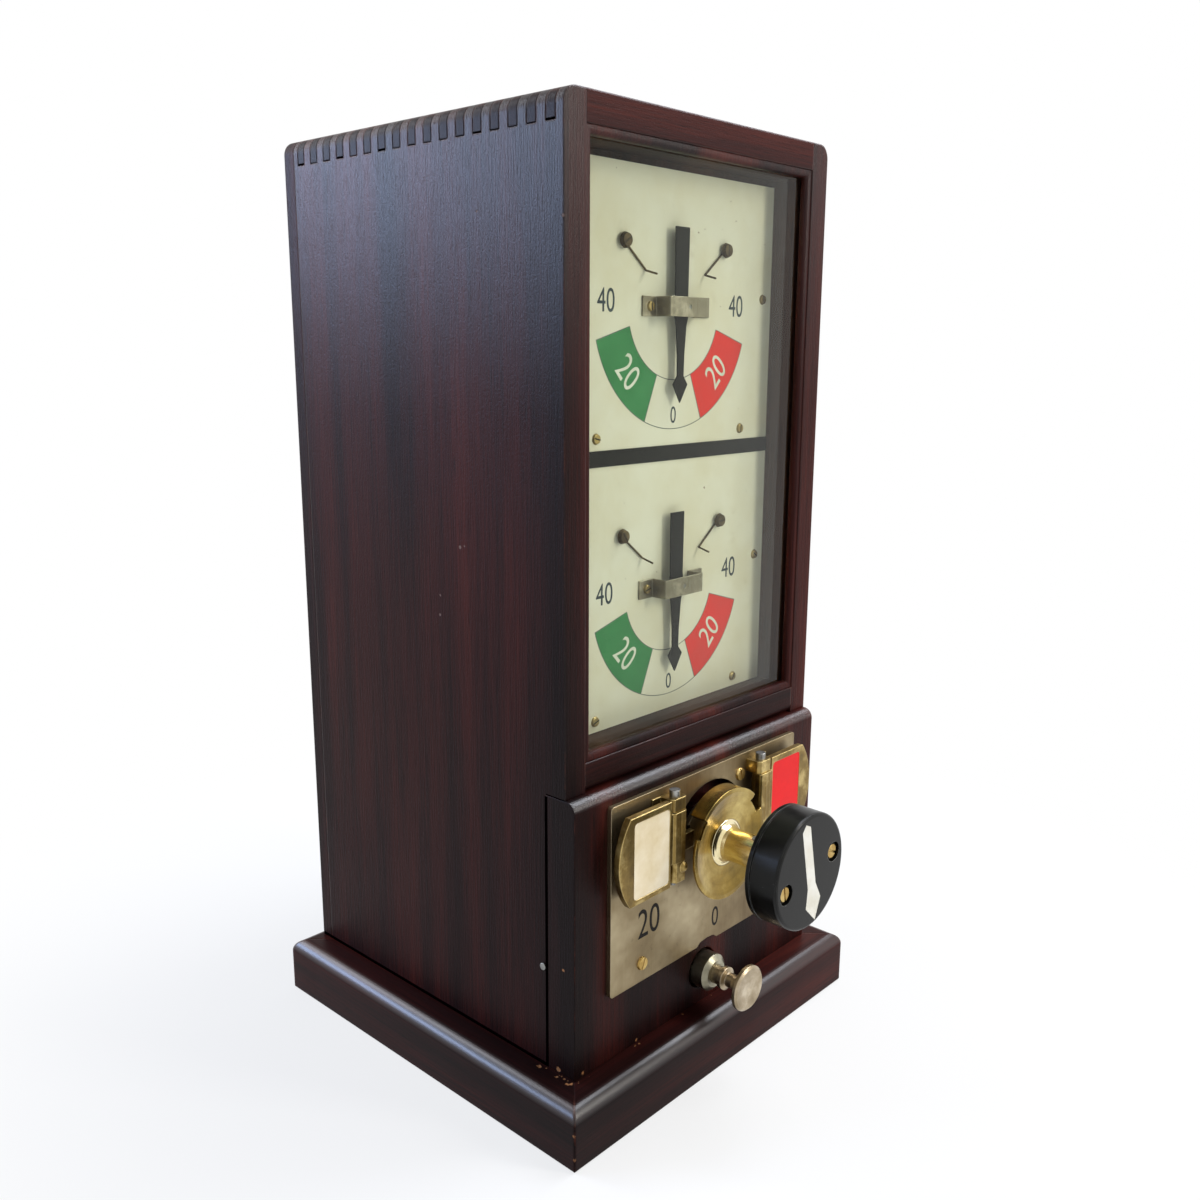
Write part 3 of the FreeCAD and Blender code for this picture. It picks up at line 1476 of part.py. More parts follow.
blade0 = plungerBack + bladeGap
node(
    box(-bladeHalf, bladeHalf, blade0, blade0 + bladeThick, tapperZ - bladeLow, blockTop),
    "tapper_spring",
)
node(box(-blockHalf, blockHalf, coverBack, blade0, blockLow, blockTop), "tapper_contact")

doc.recompute()
for obj in doc.Objects:
    if any(word in ("Invalid", "Error") for word in obj.State):
        raise RuntimeError("failed object %s %s" % (obj.Name, obj.State))
labels = [obj.Label for obj in subParts]
if len(set(labels)) != len(labels):
    raise RuntimeError("two sub-parts share a label")
for obj in subParts:
    if obj.Shape.isNull() or not obj.Shape.isValid() or obj.Shape.Volume <= 0:
        raise RuntimeError("bad shape in " + obj.Label)
for obj in subParts:
    obj.Shape.exportStep("parts/%s.step" % obj.Label)
print("%d sub-parts written" % len(subParts))
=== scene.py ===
import json
import math
import random

import bpy
from mathutils import Matrix, Vector


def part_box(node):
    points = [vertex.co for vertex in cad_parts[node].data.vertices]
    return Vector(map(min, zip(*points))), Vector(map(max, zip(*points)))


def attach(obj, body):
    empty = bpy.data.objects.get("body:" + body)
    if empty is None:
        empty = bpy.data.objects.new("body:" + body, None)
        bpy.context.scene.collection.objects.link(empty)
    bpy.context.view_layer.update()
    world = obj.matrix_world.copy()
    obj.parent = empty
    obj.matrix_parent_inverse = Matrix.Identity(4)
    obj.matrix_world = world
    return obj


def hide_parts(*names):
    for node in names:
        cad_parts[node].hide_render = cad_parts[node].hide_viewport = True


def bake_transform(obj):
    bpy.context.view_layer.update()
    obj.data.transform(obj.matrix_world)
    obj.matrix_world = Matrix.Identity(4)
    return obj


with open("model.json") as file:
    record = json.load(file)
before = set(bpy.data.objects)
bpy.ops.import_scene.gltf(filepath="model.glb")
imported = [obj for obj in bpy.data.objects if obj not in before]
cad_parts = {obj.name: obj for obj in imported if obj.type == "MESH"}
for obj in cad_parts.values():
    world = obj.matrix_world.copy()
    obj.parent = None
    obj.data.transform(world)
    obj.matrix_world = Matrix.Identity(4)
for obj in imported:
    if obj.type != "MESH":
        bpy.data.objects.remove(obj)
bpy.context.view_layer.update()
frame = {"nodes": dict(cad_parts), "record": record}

nodes = frame["nodes"]
mm = 0.001
print("model loaded,", len(nodes), "nodes")

# the camera stands low in front of the left corner and looks slightly down
cameraSpot = {
    "place": (-0.5028, -0.4923, 0.4204),
    "right": (0.67998, -0.73322, 0.00466),
    "up": (0.15353, 0.14859, 0.97691),
    "back": (-0.71698, -0.66356, 0.21361),
    "lens": 34.30,
    "sensor": 36,
    "nearest": 0.01,
}
cameraData = bpy.data.cameras.new("camera")
cameraData.lens = cameraSpot["lens"]
cameraData.sensor_width = cameraSpot["sensor"]
cameraData.clip_start = cameraSpot["nearest"]
camera = bpy.data.objects.new("camera", cameraData)
bpy.context.scene.collection.objects.link(camera)
turn = Matrix((cameraSpot["right"], cameraSpot["up"], cameraSpot["back"])).transposed()
camera.matrix_world = Matrix.Translation(cameraSpot["place"]) @ turn.to_4x4()
bpy.context.scene.camera = camera
print("camera placed")


# colours are written as sRGB hex, and the nodes want them linear
def colour(hexValue):
    parts = [int(hexValue[i:i + 2], 16) / 255 for i in (1, 3, 5)]
    return tuple(c / 12.92 if c <= 0.04045 else ((c + 0.055) / 1.055) ** 2.4 for c in parts) + (1.0,)


def grey(v):
    return (v, v, v, 1)


# adds one node: its own settings, a number or a link for each socket; gives one output, or the node itself
def add(tree, kind, sockets=None, give=0, stops=(), ease="LINEAR", **settings):
    node = tree.nodes.new("ShaderNode" + kind)
    for key, value in settings.items():
        setattr(node, key, value)
    for key, value in (sockets or {}).items():
        if isinstance(value, bpy.types.NodeSocket):
            tree.links.new(value, node.inputs[key])
        else:
            node.inputs[key].default_value = value
    if stops:
        node.color_ramp.interpolation = ease
        marks = node.color_ramp.elements
        while len(marks) < len(stops):
            marks.new(0.5)
        for mark, (spot, shade) in zip(marks, stops):
            mark.position = spot
            mark.color = shade
    return node if give is None else node.outputs[give]


def newMaterial(name):
    material = bpy.data.materials.new(name)
    material.use_nodes = True
    tree = material.node_tree
    return material, tree, tree.nodes["Principled BSDF"]


# the piece's own space, counted in patches whose sizes along x, y and z are in mm
def inPatches(tree, patch, turned=(0, 0, 0)):
    scale = [1 / (size * mm) for size in patch]
    spot = add(tree, "TexCoord", give="Object")
    return add(tree, "Mapping", {"Vector": spot, "Scale": scale, "Rotation": turned})


# soft clouds about as large as the patches
def clouding(tree, patch, detail, rough, distortion=0.0, turned=(0, 0, 0)):
    sockets = {
        "Vector": inPatches(tree, patch, turned),
        "Scale": 1.0,
        "Detail": detail,
        "Roughness": rough,
        "Distortion": distortion,
    }
    return add(tree, "TexNoise", sockets)


# lays a paint over a base by a pattern: none where the pattern is at start, amount of it at full
def stain(tree, base, pattern, start, full, amount, paint):
    stops = sorted([(start, grey(0)), (full, grey(amount))])
    mask = add(tree, "ValToRGB", {"Fac": pattern}, "Color", stops)
    return add(tree, "Mix", {0: mask, 6: base, 7: paint}, 2, data_type="RGBA")


# reliefs laid over each other, each with its own strength, all of one depth
def relief(tree, layers, depth, normal=None):
    for height, strength in layers:
        sockets = {"Height": height, "Strength": strength, "Distance": depth * mm}
        if normal is not None:
            sockets["Normal"] = normal
        normal = add(tree, "Bump", sockets, "Normal")
    return normal


# white beside sharp edges, found from how far the rounded normal leans; gives that normal too
def rubbedEdges(tree, radius):
    soft = add(tree, "Bevel", {"Radius": radius * mm}, "Normal", samples=6)
    hard = add(tree, "NewGeometry", give="True Normal")
    same = add(tree, "VectorMath", {0: soft, 1: hard}, "Value", operation="DOT_PRODUCT")
    lean = add(tree, "Math", {0: 1.0, 1: same}, operation="SUBTRACT")
    return add(tree, "ValToRGB", {"Fac": lean}, "Color", [(0.02, grey(0)), (0.25, grey(1))]), soft


# French-polished mahogany: thin shellac over stained open-grained wood, so the red brown sits deep
# under a clear gloss, with dark stripes along the grain and paler rubbed edges
mahogany = {
    "dark": "#110606",
    "middle": "#200c0b",
    "warm": "#33120f",
    "ribbon": "#4a1c15",
    "pore": "#080303",
    "endDark": "#0b0405",
    "endLight": "#221011",
    "worn": "#6a3322",
    "bare": "#a8744c",  # wood under a fresh knock
    "ribbonGrain": (30, 900),  # mm across the grain and along it
    "broadGrain": (70, 420),
    "fineGrain": (1.6, 70),
    "figureShares": (0.5, 0.32, 0.18),  # how much of the figure each of these three makes
    "poreGrain": (0.8, 16),  # real pores are 0.2 mm wide, drawn coarser so that they show
    "poreShade": 0.5,
    "crazeGrain": (2.2, 3.74),  # cracks in the old polish
    "crackleGrain": (0.7, 1.6),  # real crackle is finer, drawn coarser so that it shows
    "endSpeck": 0.7143,  # real end pores are finer, drawn coarser so that they show
    "wornPatch": 22.222,  # from one pale stretch of an edge to the next
    "smear": (71.43, 71.43, 100),  # where hands and dusters went
    "dent": (18.182, 18.182, 33.333),  # slow waves left by the plane
    "edgeWidth": 1.6,
    "lift": 0.0,  # more than 0 makes the whole board paler
    "roughness": 0.4,
    "unevenness": (-0.07, 0.14),  # where it is handled smooth and where it has gone dull
    "sheen": 0.06,
    "polish": 0.07,  # shellac on the flats
    "edgePolish": 0.5,  # shellac on the edges
    "roundPolish": False,  # the shellac lies on the mouldings' roundings instead
    "topPolish": None,  # from height, to height, and how much thicker it is there
    "coatRoughness": 0.16,
    "edgeWear": 0.5,
    "reliefDepth": 0.4,
    "dentRelief": 0.14,
    "crackleRelief": 0.4,
    "poreRelief": 0.5,
    "crazeRelief": 0.07,
    "knockRelief": 0.6,
    "texture": 1.0,  # all but the dents and knocks at once
    "knocks": [],
    "knockShade": 0.75,
}


# patch sizes for wood with its grain along one axis
def alongGrain(axis, sizes):
    patch = [sizes[0]] * 3
    patch[axis] = sizes[1]
    return patch


# small knocks at known places: ragged spots where the polish is broken
knockLook = {"ragged": 1.4286, "reach": 2.1, "raggedReach": 2, "sharpness": 2}


def knockMask(tree, spots):
    place = add(tree, "TexCoord", give="Object")
    ragged = clouding(tree, [knockLook["ragged"]] * 3, 3, 0.7)
    mask = 0.0
    for x, y, z, radius in spots:
        centre = {0: place, 1: (x * mm, y * mm, z * mm)}
        offset = add(tree, "VectorMath", centre, "Value", operation="DISTANCE")
        uneven = add(tree, "Math", {0: ragged, 1: radius * mm * knockLook["raggedReach"]}, operation="MULTIPLY")
        away = add(tree, "Math", {0: offset, 1: uneven}, operation="ADD")
        near = add(tree, "Math", {0: radius * mm * knockLook["reach"], 1: away}, operation="SUBTRACT")
        spot = add(tree, "Math", {0: near, 1: knockLook["sharpness"] / mm}, operation="MULTIPLY", use_clamp=True)
        mask = add(tree, "Math", {0: mask, 1: spot}, operation="MAXIMUM")
    return mask


# where the shellac is thick: on rubbed edges or on a moulding's rounding, and more near the top
def shellac(tree, look, wear):
    if look["roundPolish"]:
        normal = add(tree, "NewGeometry", give="True Normal")
        level = add(tree, "SeparateXYZ", {"Vector": normal}, "Z")
        rounding = [(0.08, grey(0)), (0.4, grey(1)), (0.93, grey(1)), (0.99, grey(0))]
        wear = add(tree, "ValToRGB", {"Fac": level}, "Color", rounding)
    shine = add(tree, "MapRange", {"Value": wear, "To Min": look["polish"], "To Max": look["edgePolish"]})
    if look["topPolish"]:
        low, high, amount = look["topPolish"]
        height = add(tree, "SeparateXYZ", {"Vector": add(tree, "TexCoord", give="Object")}, "Z")
        reach = {"Value": height, "From Min": low * mm, "From Max": high * mm, "To Min": 0.0, "To Max": amount}
        shine = add(tree, "Math", {0: shine, 1: add(tree, "MapRange", reach)}, operation="ADD")
    return shine


def mahoganyMaterial(name, axis, look=mahogany, endGrain=False):
    material, tree, shader = newMaterial(name)
    figures = (
        clouding(tree, alongGrain(axis, look["ribbonGrain"]), 2, 0.5, 0.15),
        clouding(tree, alongGrain(axis, look["broadGrain"]), 2, 0.5),
        clouding(tree, alongGrain(axis, look["fineGrain"]), 3, 0.6),
    )
    mixed = look["lift"]
    for figure, share in zip(figures, look["figureShares"]):
        part = add(tree, "Math", {0: figure, 1: share}, operation="MULTIPLY")
        mixed = add(tree, "Math", {0: mixed, 1: part}, operation="ADD")
    stops = [
        (0.40, colour(look["dark"])),
        (0.48, colour(look["middle"])),
        (0.55, colour(look["warm"])),
        (0.64, colour(look["ribbon"])),
    ]
    base = add(tree, "ValToRGB", {"Fac": mixed}, "Color", stops)
    pores = clouding(tree, alongGrain(axis, look["poreGrain"]), 2, 0.5)
    base = stain(tree, base, pores, 0.42, 0.30, look["poreShade"], colour(look["pore"]))
    if endGrain:
        speckle = clouding(tree, [look["endSpeck"]] * 3, 3, 0.7)
        endStops = [(0.35, colour(look["endDark"])), (0.62, colour(look["endLight"]))]
        ends = add(tree, "ValToRGB", {"Fac": speckle}, "Color", endStops)
        split = add(tree, "SeparateXYZ", {"Vector": add(tree, "NewGeometry", give="True Normal")}, axis)
        facing = add(tree, "Math", {0: split}, operation="ABSOLUTE")
        base = stain(tree, base, facing, 0.6, 0.8, 1, ends)
    wear, softNormal = rubbedEdges(tree, look["edgeWidth"])
    patches = clouding(tree, [look["wornPatch"]] * 3, 5, 0.7)
    patchy = add(tree, "ValToRGB", {"Fac": patches}, "Color", [(0.47, grey(0)), (0.62, grey(look["edgeWear"]))])
    worn = add(tree, "Math", {0: wear, 1: patchy}, operation="MULTIPLY")
    base = stain(tree, base, worn, 0, 1, 1, colour(look["worn"]))
    dents = clouding(tree, look["dent"], 4, 0.6)
    crackle = clouding(tree, alongGrain(axis, look["crackleGrain"]), 3, 0.65)
    cells = {"Vector": inPatches(tree, alongGrain(axis, look["crazeGrain"])), "Scale": 1.0}
    cracks = add(tree, "TexVoronoi", cells, "Distance", feature="DISTANCE_TO_EDGE")
    crazing = add(tree, "ValToRGB", {"Fac": cracks}, "Color", [(0.0, grey(0)), (0.12, grey(1))])
    layers = [(dents, look["dentRelief"])]
    for height, name in ((crackle, "crackleRelief"), (pores, "poreRelief"), (crazing, "crazeRelief")):
        layers.append((height, look[name] * look["texture"]))
    if look["knocks"]:
        knocks = knockMask(tree, look["knocks"])
        base = stain(tree, base, knocks, 0, 1, look["knockShade"], colour(look["bare"]))
        layers.append((add(tree, "Math", {0: 1.0, 1: knocks}, operation="SUBTRACT"), look["knockRelief"]))
    tree.links.new(base, shader.inputs["Base Color"])
    smear = clouding(tree, look["smear"], 4, 0.6)
    smooth, dull = [look["roughness"] + change for change in look["unevenness"]]
    roughness = add(tree, "MapRange", {"Value": smear, "To Min": smooth, "To Max": dull})
    tree.links.new(roughness, shader.inputs["Roughness"])
    shader.inputs["IOR"].default_value = 1.5
    shader.inputs["Specular IOR Level"].default_value = look["sheen"]
    tree.links.new(shellac(tree, look, wear), shader.inputs["Coat Weight"])
    shader.inputs["Coat Roughness"].default_value = look["coatRoughness"]
    normal = relief(tree, layers, look["reliefDepth"], softNormal)
    tree.links.new(normal, shader.inputs["Normal"])
    tree.links.new(normal, shader.inputs["Coat Normal"])
    return material


# knocks: x, y, z and radius in mm
sideKnocks = [
    (-110.5, -26.9, 317, 1.0),
    (-110.5, -30.5, 318, 0.7),
    (-110.5, -9.2, 288, 0.7),
    (-110.5, -8.6, 277, 0.9),
    (-110.5, -104.9, 480.9, 0.9),
    (-110.5, -45, 487, 0.7),
    (110.5, 30, 250, 0.9),
    (110.5, -60, 400, 0.7),
]
coverKnocks = [
    (-110.5, -104, 98, 0.9),
    (-110.5, -100, 37, 1.6),
    (-104, -112.3, 37.5, 1.2),
    (-60, -112.3, 36.5, 1.0),
    (20, -112.3, 36, 0.8),
]
baseKnocks = [
    (-127.6, -129, 30, 1.2),
    (-129.5, -130.5, 22, 1.0),
    (-129.6, -130.8, 8, 0.9),
    (-60, -114.5, 35, 0.8),
    (-20, -114, 35, 0.7),
    (-128, -40, 31, 0.8),
]
# more of them crowd on the base round the foot of the cover's left corner, a few along its front
baseTop = 35  # where the case stands on the base
crumbLook = {
    "left": {"count": 16, "x": -111.6, "strip": 3, "y": -112, "long": 26, "radius": (0.4, 1.1)},
    "front": {"count": 7, "y": -113.4, "strip": 1.2, "x": -110, "long": 150, "radius": (0.3, 0.7)},
}
crumbs = random.Random(5)
look = crumbLook["left"]
for i in range(look["count"]):
    along = crumbs.uniform(0, 1)
    x = look["x"] - crumbs.uniform(0, look["strip"])
    y = look["y"] + look["long"] * along * along
    baseKnocks.append((x, y, baseTop, crumbs.uniform(*look["radius"])))
look = crumbLook["front"]
for i in range(look["count"]):
    x = look["x"] + crumbs.uniform(0, look["long"])
    y = look["y"] - crumbs.uniform(0, look["strip"])
    baseKnocks.append((x, y, baseTop, crumbs.uniform(*look["radius"])))

# the polish on the sides is thin low down and still thick near the top
sideLook = {
    **mahogany,
    "polish": 0.05,
    "topPolish": (385, 530, 0.26),
    "coatRoughness": 0.26,
    "knocks": sideKnocks,
    "bare": "#7d6458",
}
# the cover's rounded top edge and the base mouldings hold the thickest shellac and gleam
coverLook = {**mahogany, "knocks": coverKnocks, "roundPolish": True, "edgePolish": 1.0, "coatRoughness": 0.22}
baseLook = {
    **mahogany,
    "polish": 0.05,
    "edgePolish": 1.0,
    "roundPolish": True,
    "coatRoughness": 0.3,
    "knocks": baseKnocks,
    "edgeWear": 0.8,
    "texture": 0.2,
}
# inside the window the wood is bare of shellac, faded and dusty
liningLook = {
    **mahogany,
    "dark": "#1c100c",
    "middle": "#2f1d16",
    "warm": "#3d271d",
    "ribbon": "#4a3124",
    "worn": "#6a4a38",
    "polish": 0.04,
    "edgePolish": 0.2,
    "roughness": 0.5,
    "texture": 0.2,
}
# the back got one thin coat, so it is duller and paler
backLook = {**mahogany, "polish": 0.08, "roughness": 0.46, "lift": 0.02}
# boards that run across show dark end grain on the case's sides
acrossLook = {**mahogany, "texture": 0.6}
woodUp = mahoganyMaterial("mahogany_polished_upright", 2, sideLook)
woodCover = mahoganyMaterial("mahogany_polished_cover", 2, coverLook)
woodAcross = mahoganyMaterial("mahogany_polished_across", 0, acrossLook, endGrain=True)
baseAcross = mahoganyMaterial("mahogany_moulding_across", 0, baseLook)
baseDeep = mahoganyMaterial("mahogany_moulding_deep", 1, baseLook)
woodBack = mahoganyMaterial("mahogany_thin_polish", 2, backLook)
liningWood = mahoganyMaterial("mahogany_faded_lining", 2, liningLook)
print("wood made")


# Enamelled tin dial: cream stove enamel gone yellow, slightly glossy, with rust specks and faint stains
dialEnamel = {
    "cream": "#e4e0d0",
    "yellowed": "#d8cfb4",
    "rust": "#6b4a26",
    "stain": "#a8926a",
    "cloud": 45.455,  # mm, as all sizes here
    "speck": 2.64,  # real rust specks are finer, drawn coarser so that they show
    "stainPatch": (26.316, 26.316, 16.667),
    "roughness": 0.32,
    "sheen": 0.25,
    "reliefDepth": 0.2,
}


def enamelMaterial(name, look=dialEnamel):
    material, tree, shader = newMaterial(name)
    clouds = clouding(tree, [look["cloud"]] * 3, 5, 0.6)
    base = stain(tree, colour(look["cream"]), clouds, 0.4, 0.72, 0.8, colour(look["yellowed"]))
    tiny = clouding(tree, [look["speck"]] * 3, 1, 0.4)
    base = stain(tree, base, tiny, 0.775, 0.80, 0.8, colour(look["rust"]))
    stains = clouding(tree, look["stainPatch"], 3, 0.5)
    base = stain(tree, base, stains, 0.66, 0.8, 0.35, colour(look["stain"]))
    tree.links.new(base, shader.inputs["Base Color"])
    shader.inputs["Roughness"].default_value = look["roughness"]
    shader.inputs["IOR"].default_value = 1.5
    shader.inputs["Specular IOR Level"].default_value = look["sheen"]
    tree.links.new(relief(tree, [(clouds, 0.1), (tiny, 0.12)], look["reliefDepth"]), shader.inputs["Normal"])
    return material


# Signwriter's enamel paint, brushed on by hand: even colour with a slight sheen, thinned and scuffed
signPaint = {
    "roughness": 0.4,
    "sheen": 0.2,
    "reliefDepth": 0.15,
    "scuff": 0.4,
    "under": "#cfc8b0",
    "cloud": 16.667,  # mm between thin places
    "scratch": (4.5455, 4.5455, 1.1111),  # real scuffs are finer, drawn coarser so that they show
    "scratchTurn": (0.0, 0.7, 0.0),
}


def paintMaterial(name, look):
    material, tree, shader = newMaterial(name)
    clouds = clouding(tree, [look["cloud"]] * 3, 4, 0.6)
    base = stain(tree, colour(look["main"]), clouds, 0.38, 0.68, 1, colour(look["faded"]))
    scratches = clouding(tree, look["scratch"], 3, 0.7, turned=look["scratchTurn"])
    base = stain(tree, base, scratches, 0.73, 0.78, look["scuff"], colour(look["under"]))
    tree.links.new(base, shader.inputs["Base Color"])
    shader.inputs["Roughness"].default_value = look["roughness"]
    shader.inputs["IOR"].default_value = 1.5
    shader.inputs["Specular IOR Level"].default_value = look["sheen"]
    tree.links.new(relief(tree, [(clouds, 0.12), (scratches, 0.1)], look["reliefDepth"]), shader.inputs["Normal"])
    return material


# Metals: the base colour is the metal's own reflectance. Tarnish dulls it in clouds, and scratches
# run one way where it was brushed or in rings where it was turned
metalFinish = {
    "cloud": 14.286,  # mm between tarnished places
    "spread": (0.3, 0.5, 0.72),
    "brush": (1.1111, 1.1111, 16.667),  # real brush lines are finer, drawn coarser so that they show
    "ringsAt": None,  # x and z of the lathe's axis, and the rings' pitch, coarser than real so that they show
    "ringShade": 0.0,
    "bandWidth": 6,  # rings in each band that the lathe left duller or brighter
    "lineShine": 0.22,
    "lineDepth": 0.12,
    "cloudDepth": 0.15,
    "reliefDepth": 0.1,
    "unevenness": (-0.1, 0.15),
    "grime": 5.2632,  # mm between dirty places
    "dirt": 0.5,
    "edge": 0.5,  # mm beside an edge that are rubbed
    "rub": 0.6,  # how bright the rubbing leaves them
}


def metalMaterial(name, look):
    material, tree, shader = newMaterial(name)
    bright = colour(look["bright"])
    clouds = clouding(tree, [look["cloud"]] * 3, 5, 0.62)
    low, middle, high = look["spread"]
    stops = [(low, bright), (middle, colour(look["main"])), (high, colour(look["tarnish"]))]
    base = add(tree, "ValToRGB", {"Fac": clouds}, "Color", stops)
    if look["ringsAt"]:
        x, z, pitch = look["ringsAt"]
        place = add(tree, "TexCoord", give="Object")
        fromAxis = add(tree, "VectorMath", {0: place, 1: (x * mm, 0, z * mm)}, operation="SUBTRACT")
        across = add(tree, "VectorMath", {0: fromAxis, 1: (1, 0, 1)}, operation="MULTIPLY")
        radius = add(tree, "VectorMath", {0: across}, "Value", operation="LENGTH")
        along = add(tree, "SeparateXYZ", {"Vector": place}, "Y")
        radial = add(tree, "CombineXYZ", {0: radius, 1: along})
        rings = {"Vector": radial, "Scale": 1 / (pitch * mm), "Detail": 3, "Roughness": 0.6}
        lines = add(tree, "TexNoise", rings)
    else:
        lines = clouding(tree, look["brush"], 3, 0.65)
    base = stain(tree, base, lines, 0, 1, look["lineShine"], bright)
    if look["ringShade"]:
        wide = {"Vector": radial, "Scale": 1 / (look["bandWidth"] * pitch * mm), "Detail": 2, "Roughness": 0.5}
        base = stain(tree, base, add(tree, "TexNoise", wide), 0.42, 0.6, look["ringShade"], colour(look["tarnish"]))
    grime = clouding(tree, [look["grime"]] * 3, 4, 0.7)
    base = stain(tree, base, grime, 0.6, 0.74, look["dirt"], colour(look["dirtColour"]))
    wear, softNormal = rubbedEdges(tree, look["edge"])
    base = stain(tree, base, wear, 0, 1, look["rub"], bright)
    tree.links.new(base, shader.inputs["Base Color"])
    shader.inputs["Metallic"].default_value = 1.0
    smooth, dull = [look["roughness"] + change for change in look["unevenness"]]
    roughness = add(tree, "MapRange", {"Value": clouds, "To Min": smooth, "To Max": dull})
    tree.links.new(roughness, shader.inputs["Roughness"])
    layers = [(lines, look["lineDepth"]), (clouds, look["cloudDepth"])]
    tree.links.new(relief(tree, layers, look["reliefDepth"], softNormal), shader.inputs["Normal"])
    return material


axisZ = 142.4  # height of the commutator's axis
tapperZ = 56.6  # height of the tapper's axis
# aged lacquered brass sheet: flat, tan, brushed, with brown tarnish
plateBrass = {
    **metalFinish,
    "bright": "#b9ab8c",
    "main": "#8a7a5c",
    "tarnish": "#625038",
    "dirtColour": "#3c3022",
    "roughness": 0.38,
    "dirt": 0.35,
    "brush": (1.1111, 1.1111, 25),
    "cloud": 90.909,
    "spread": (0.36, 0.52, 0.7),
}
# turned brass of the disc: yellow, fine rings from the lathe
turnedBrass = {
    **metalFinish,
    "bright": "#d2bd7a",
    "main": "#917536",
    "tarnish": "#4a3816",
    "dirtColour": "#3a2c14",
    "roughness": 0.2,
    "ringsAt": (0, axisZ, 0.6),
    "ringShade": 0.12,
    "lineDepth": 0.1,
    "dirt": 0.15,
    "cloud": 41.667,
}
# the hub's brass is a paler copy of the disc's: a painted highlight for its bright reflections, and a little smoother
hubBrassPaintedBright = {
    **turnedBrass,
    "bright": "#fff6d4",
    "main": "#ecdca8",
    "tarnish": "#b8a26c",
    "roughness": 0.16,
    "ringShade": 0.1,
}
# cast and filed brass of the flaps, tarnished in clouds and bright on the edges
flapBrass = {
    **metalFinish,
    "bright": "#d6bf82",
    "main": "#7d6534",
    "tarnish": "#4d3b1f",
    "dirtColour": "#2a2012",
    "roughness": 0.32,
    "rub": 0.85,
    "edge": 0.9,
}
# small brass screws of the dials, dulled by age
smallBrass = {
    **metalFinish,
    "bright": "#c8b27e",
    "main": "#94804f",
    "tarnish": "#6b5a3a",
    "dirtColour": "#2c2418",
    "roughness": 0.4,
}
# drawn brass rod, yellow and satin
plainBrass = {
    **metalFinish,
    "bright": "#e0c684",
    "main": "#b89650",
    "tarnish": "#86693a",
    "dirtColour": "#3f3018",
    "roughness": 0.34,
}
# dull nickel over brass, rubbed thin, so that it looks warm and grey
nickel = {
    **metalFinish,
    "bright": "#bdb5a4",
    "main": "#7f7868",
    "tarnish": "#5c5546",
    "dirtColour": "#3a3428",
    "roughness": 0.38,
    "dirt": 0.4,
}
# turned nickel of the collar, with deep rings that glint, and the tapper's end rubbed to a warmer grey
collarNickel = {
    **nickel,
    "bright": "#c4bfac",
    "main": "#8b8672",
    "tarnish": "#6a6554",
    "roughness": 0.3,
    "ringsAt": (0, tapperZ, 0.5),
    "lineDepth": 0.25,
}
tapperNickel = {**collarNickel, "bright": "#d5c8b0", "main": "#a9997f", "tarnish": "#87775c"}
# bronzed brass stops: brown-black with a metal glint
darkBronze = {
    **metalFinish,
    "bright": "#7a6a50",
    "main": "#43392b",
    "tarnish": "#2a241c",
    "dirtColour": "#15110c",
    "roughness": 0.45,
    "rub": 0.4,
}
# turned steel, grey with a faint brown bloom
greySteel = {
    **metalFinish,
    "bright": "#b8b8b4",
    "main": "#7c7b78",
    "tarnish": "#52504c",
    "dirtColour": "#2a2622",
    "roughness": 0.36,
}


# Black ebonite, lacquer or paint: near black with a soft sheen, greyed where it is handled
def blackMaterial(name, look):
    material, tree, shader = newMaterial(name)
    worn = colour(look["worn"])
    clouds = clouding(tree, [look["cloud"]] * 3, 5, 0.6)
    base = stain(tree, colour(look["main"]), clouds, 0.4, 0.75, 0.7, colour(look["greyed"]))
    scratches = clouding(tree, look["scratch"], 3, 0.7, turned=look["scratchTurn"])
    base = stain(tree, base, scratches, 0.70, 0.76, look["marks"], worn)
    wear, softNormal = rubbedEdges(tree, look["edge"])
    patches = clouding(tree, [look["patch"]] * 3, 4, 0.6)
    stops = [(0.42, grey(0.15 * look["rub"])), (0.62, grey(look["rub"]))]
    patchy = add(tree, "ValToRGB", {"Fac": patches}, "Color", stops)
    rubbed = add(tree, "Math", {0: wear, 1: patchy}, operation="MULTIPLY")
    base = stain(tree, base, rubbed, 0, 1, 1, worn)
    tree.links.new(base, shader.inputs["Base Color"])
    smooth, dull = [look["roughness"] + change for change in look["unevenness"]]
    roughness = add(tree, "MapRange", {"Value": clouds, "To Min": smooth, "To Max": dull})
    tree.links.new(roughness, shader.inputs["Roughness"])
    shader.inputs["IOR"].default_value = look["ior"]
    shader.inputs["Specular IOR Level"].default_value = look["sheen"]
    shader.inputs["Coat Weight"].default_value = look["coat"]
    shader.inputs["Coat Roughness"].default_value = look["coatRoughness"]
    normal = relief(tree, [(clouds, 0.15), (scratches, 0.12)], look["reliefDepth"], softNormal)
    tree.links.new(normal, shader.inputs["Normal"])
    return material


# turned ebonite: black, with scuffs that turn grey
ebonite = {
    "main": "#080807",
    "greyed": "#131310",
    "worn": "#9a9a96",
    "cloud": 11.111,
    "scratch": (0.90909, 6.25, 1.42857),  # real scuffs are finer, drawn coarser so that they show
    "scratchTurn": (0.3, 0.5, 0.2),
    "patch": 6.25,
    "reliefDepth": 0.15,
    "unevenness": (-0.06, 0.12),
    "marks": 0.25,
    "edge": 0.6,
    "rub": 0.75,
    "roughness": 0.3,
    "ior": 1.6,
    "sheen": 0.1,
    "coat": 0.0,
    "coatRoughness": 0.16,
}
# the knob has been polished by hands, so it shows a weak clear gloss
satinBlack = {**ebonite, "coat": 0.16}
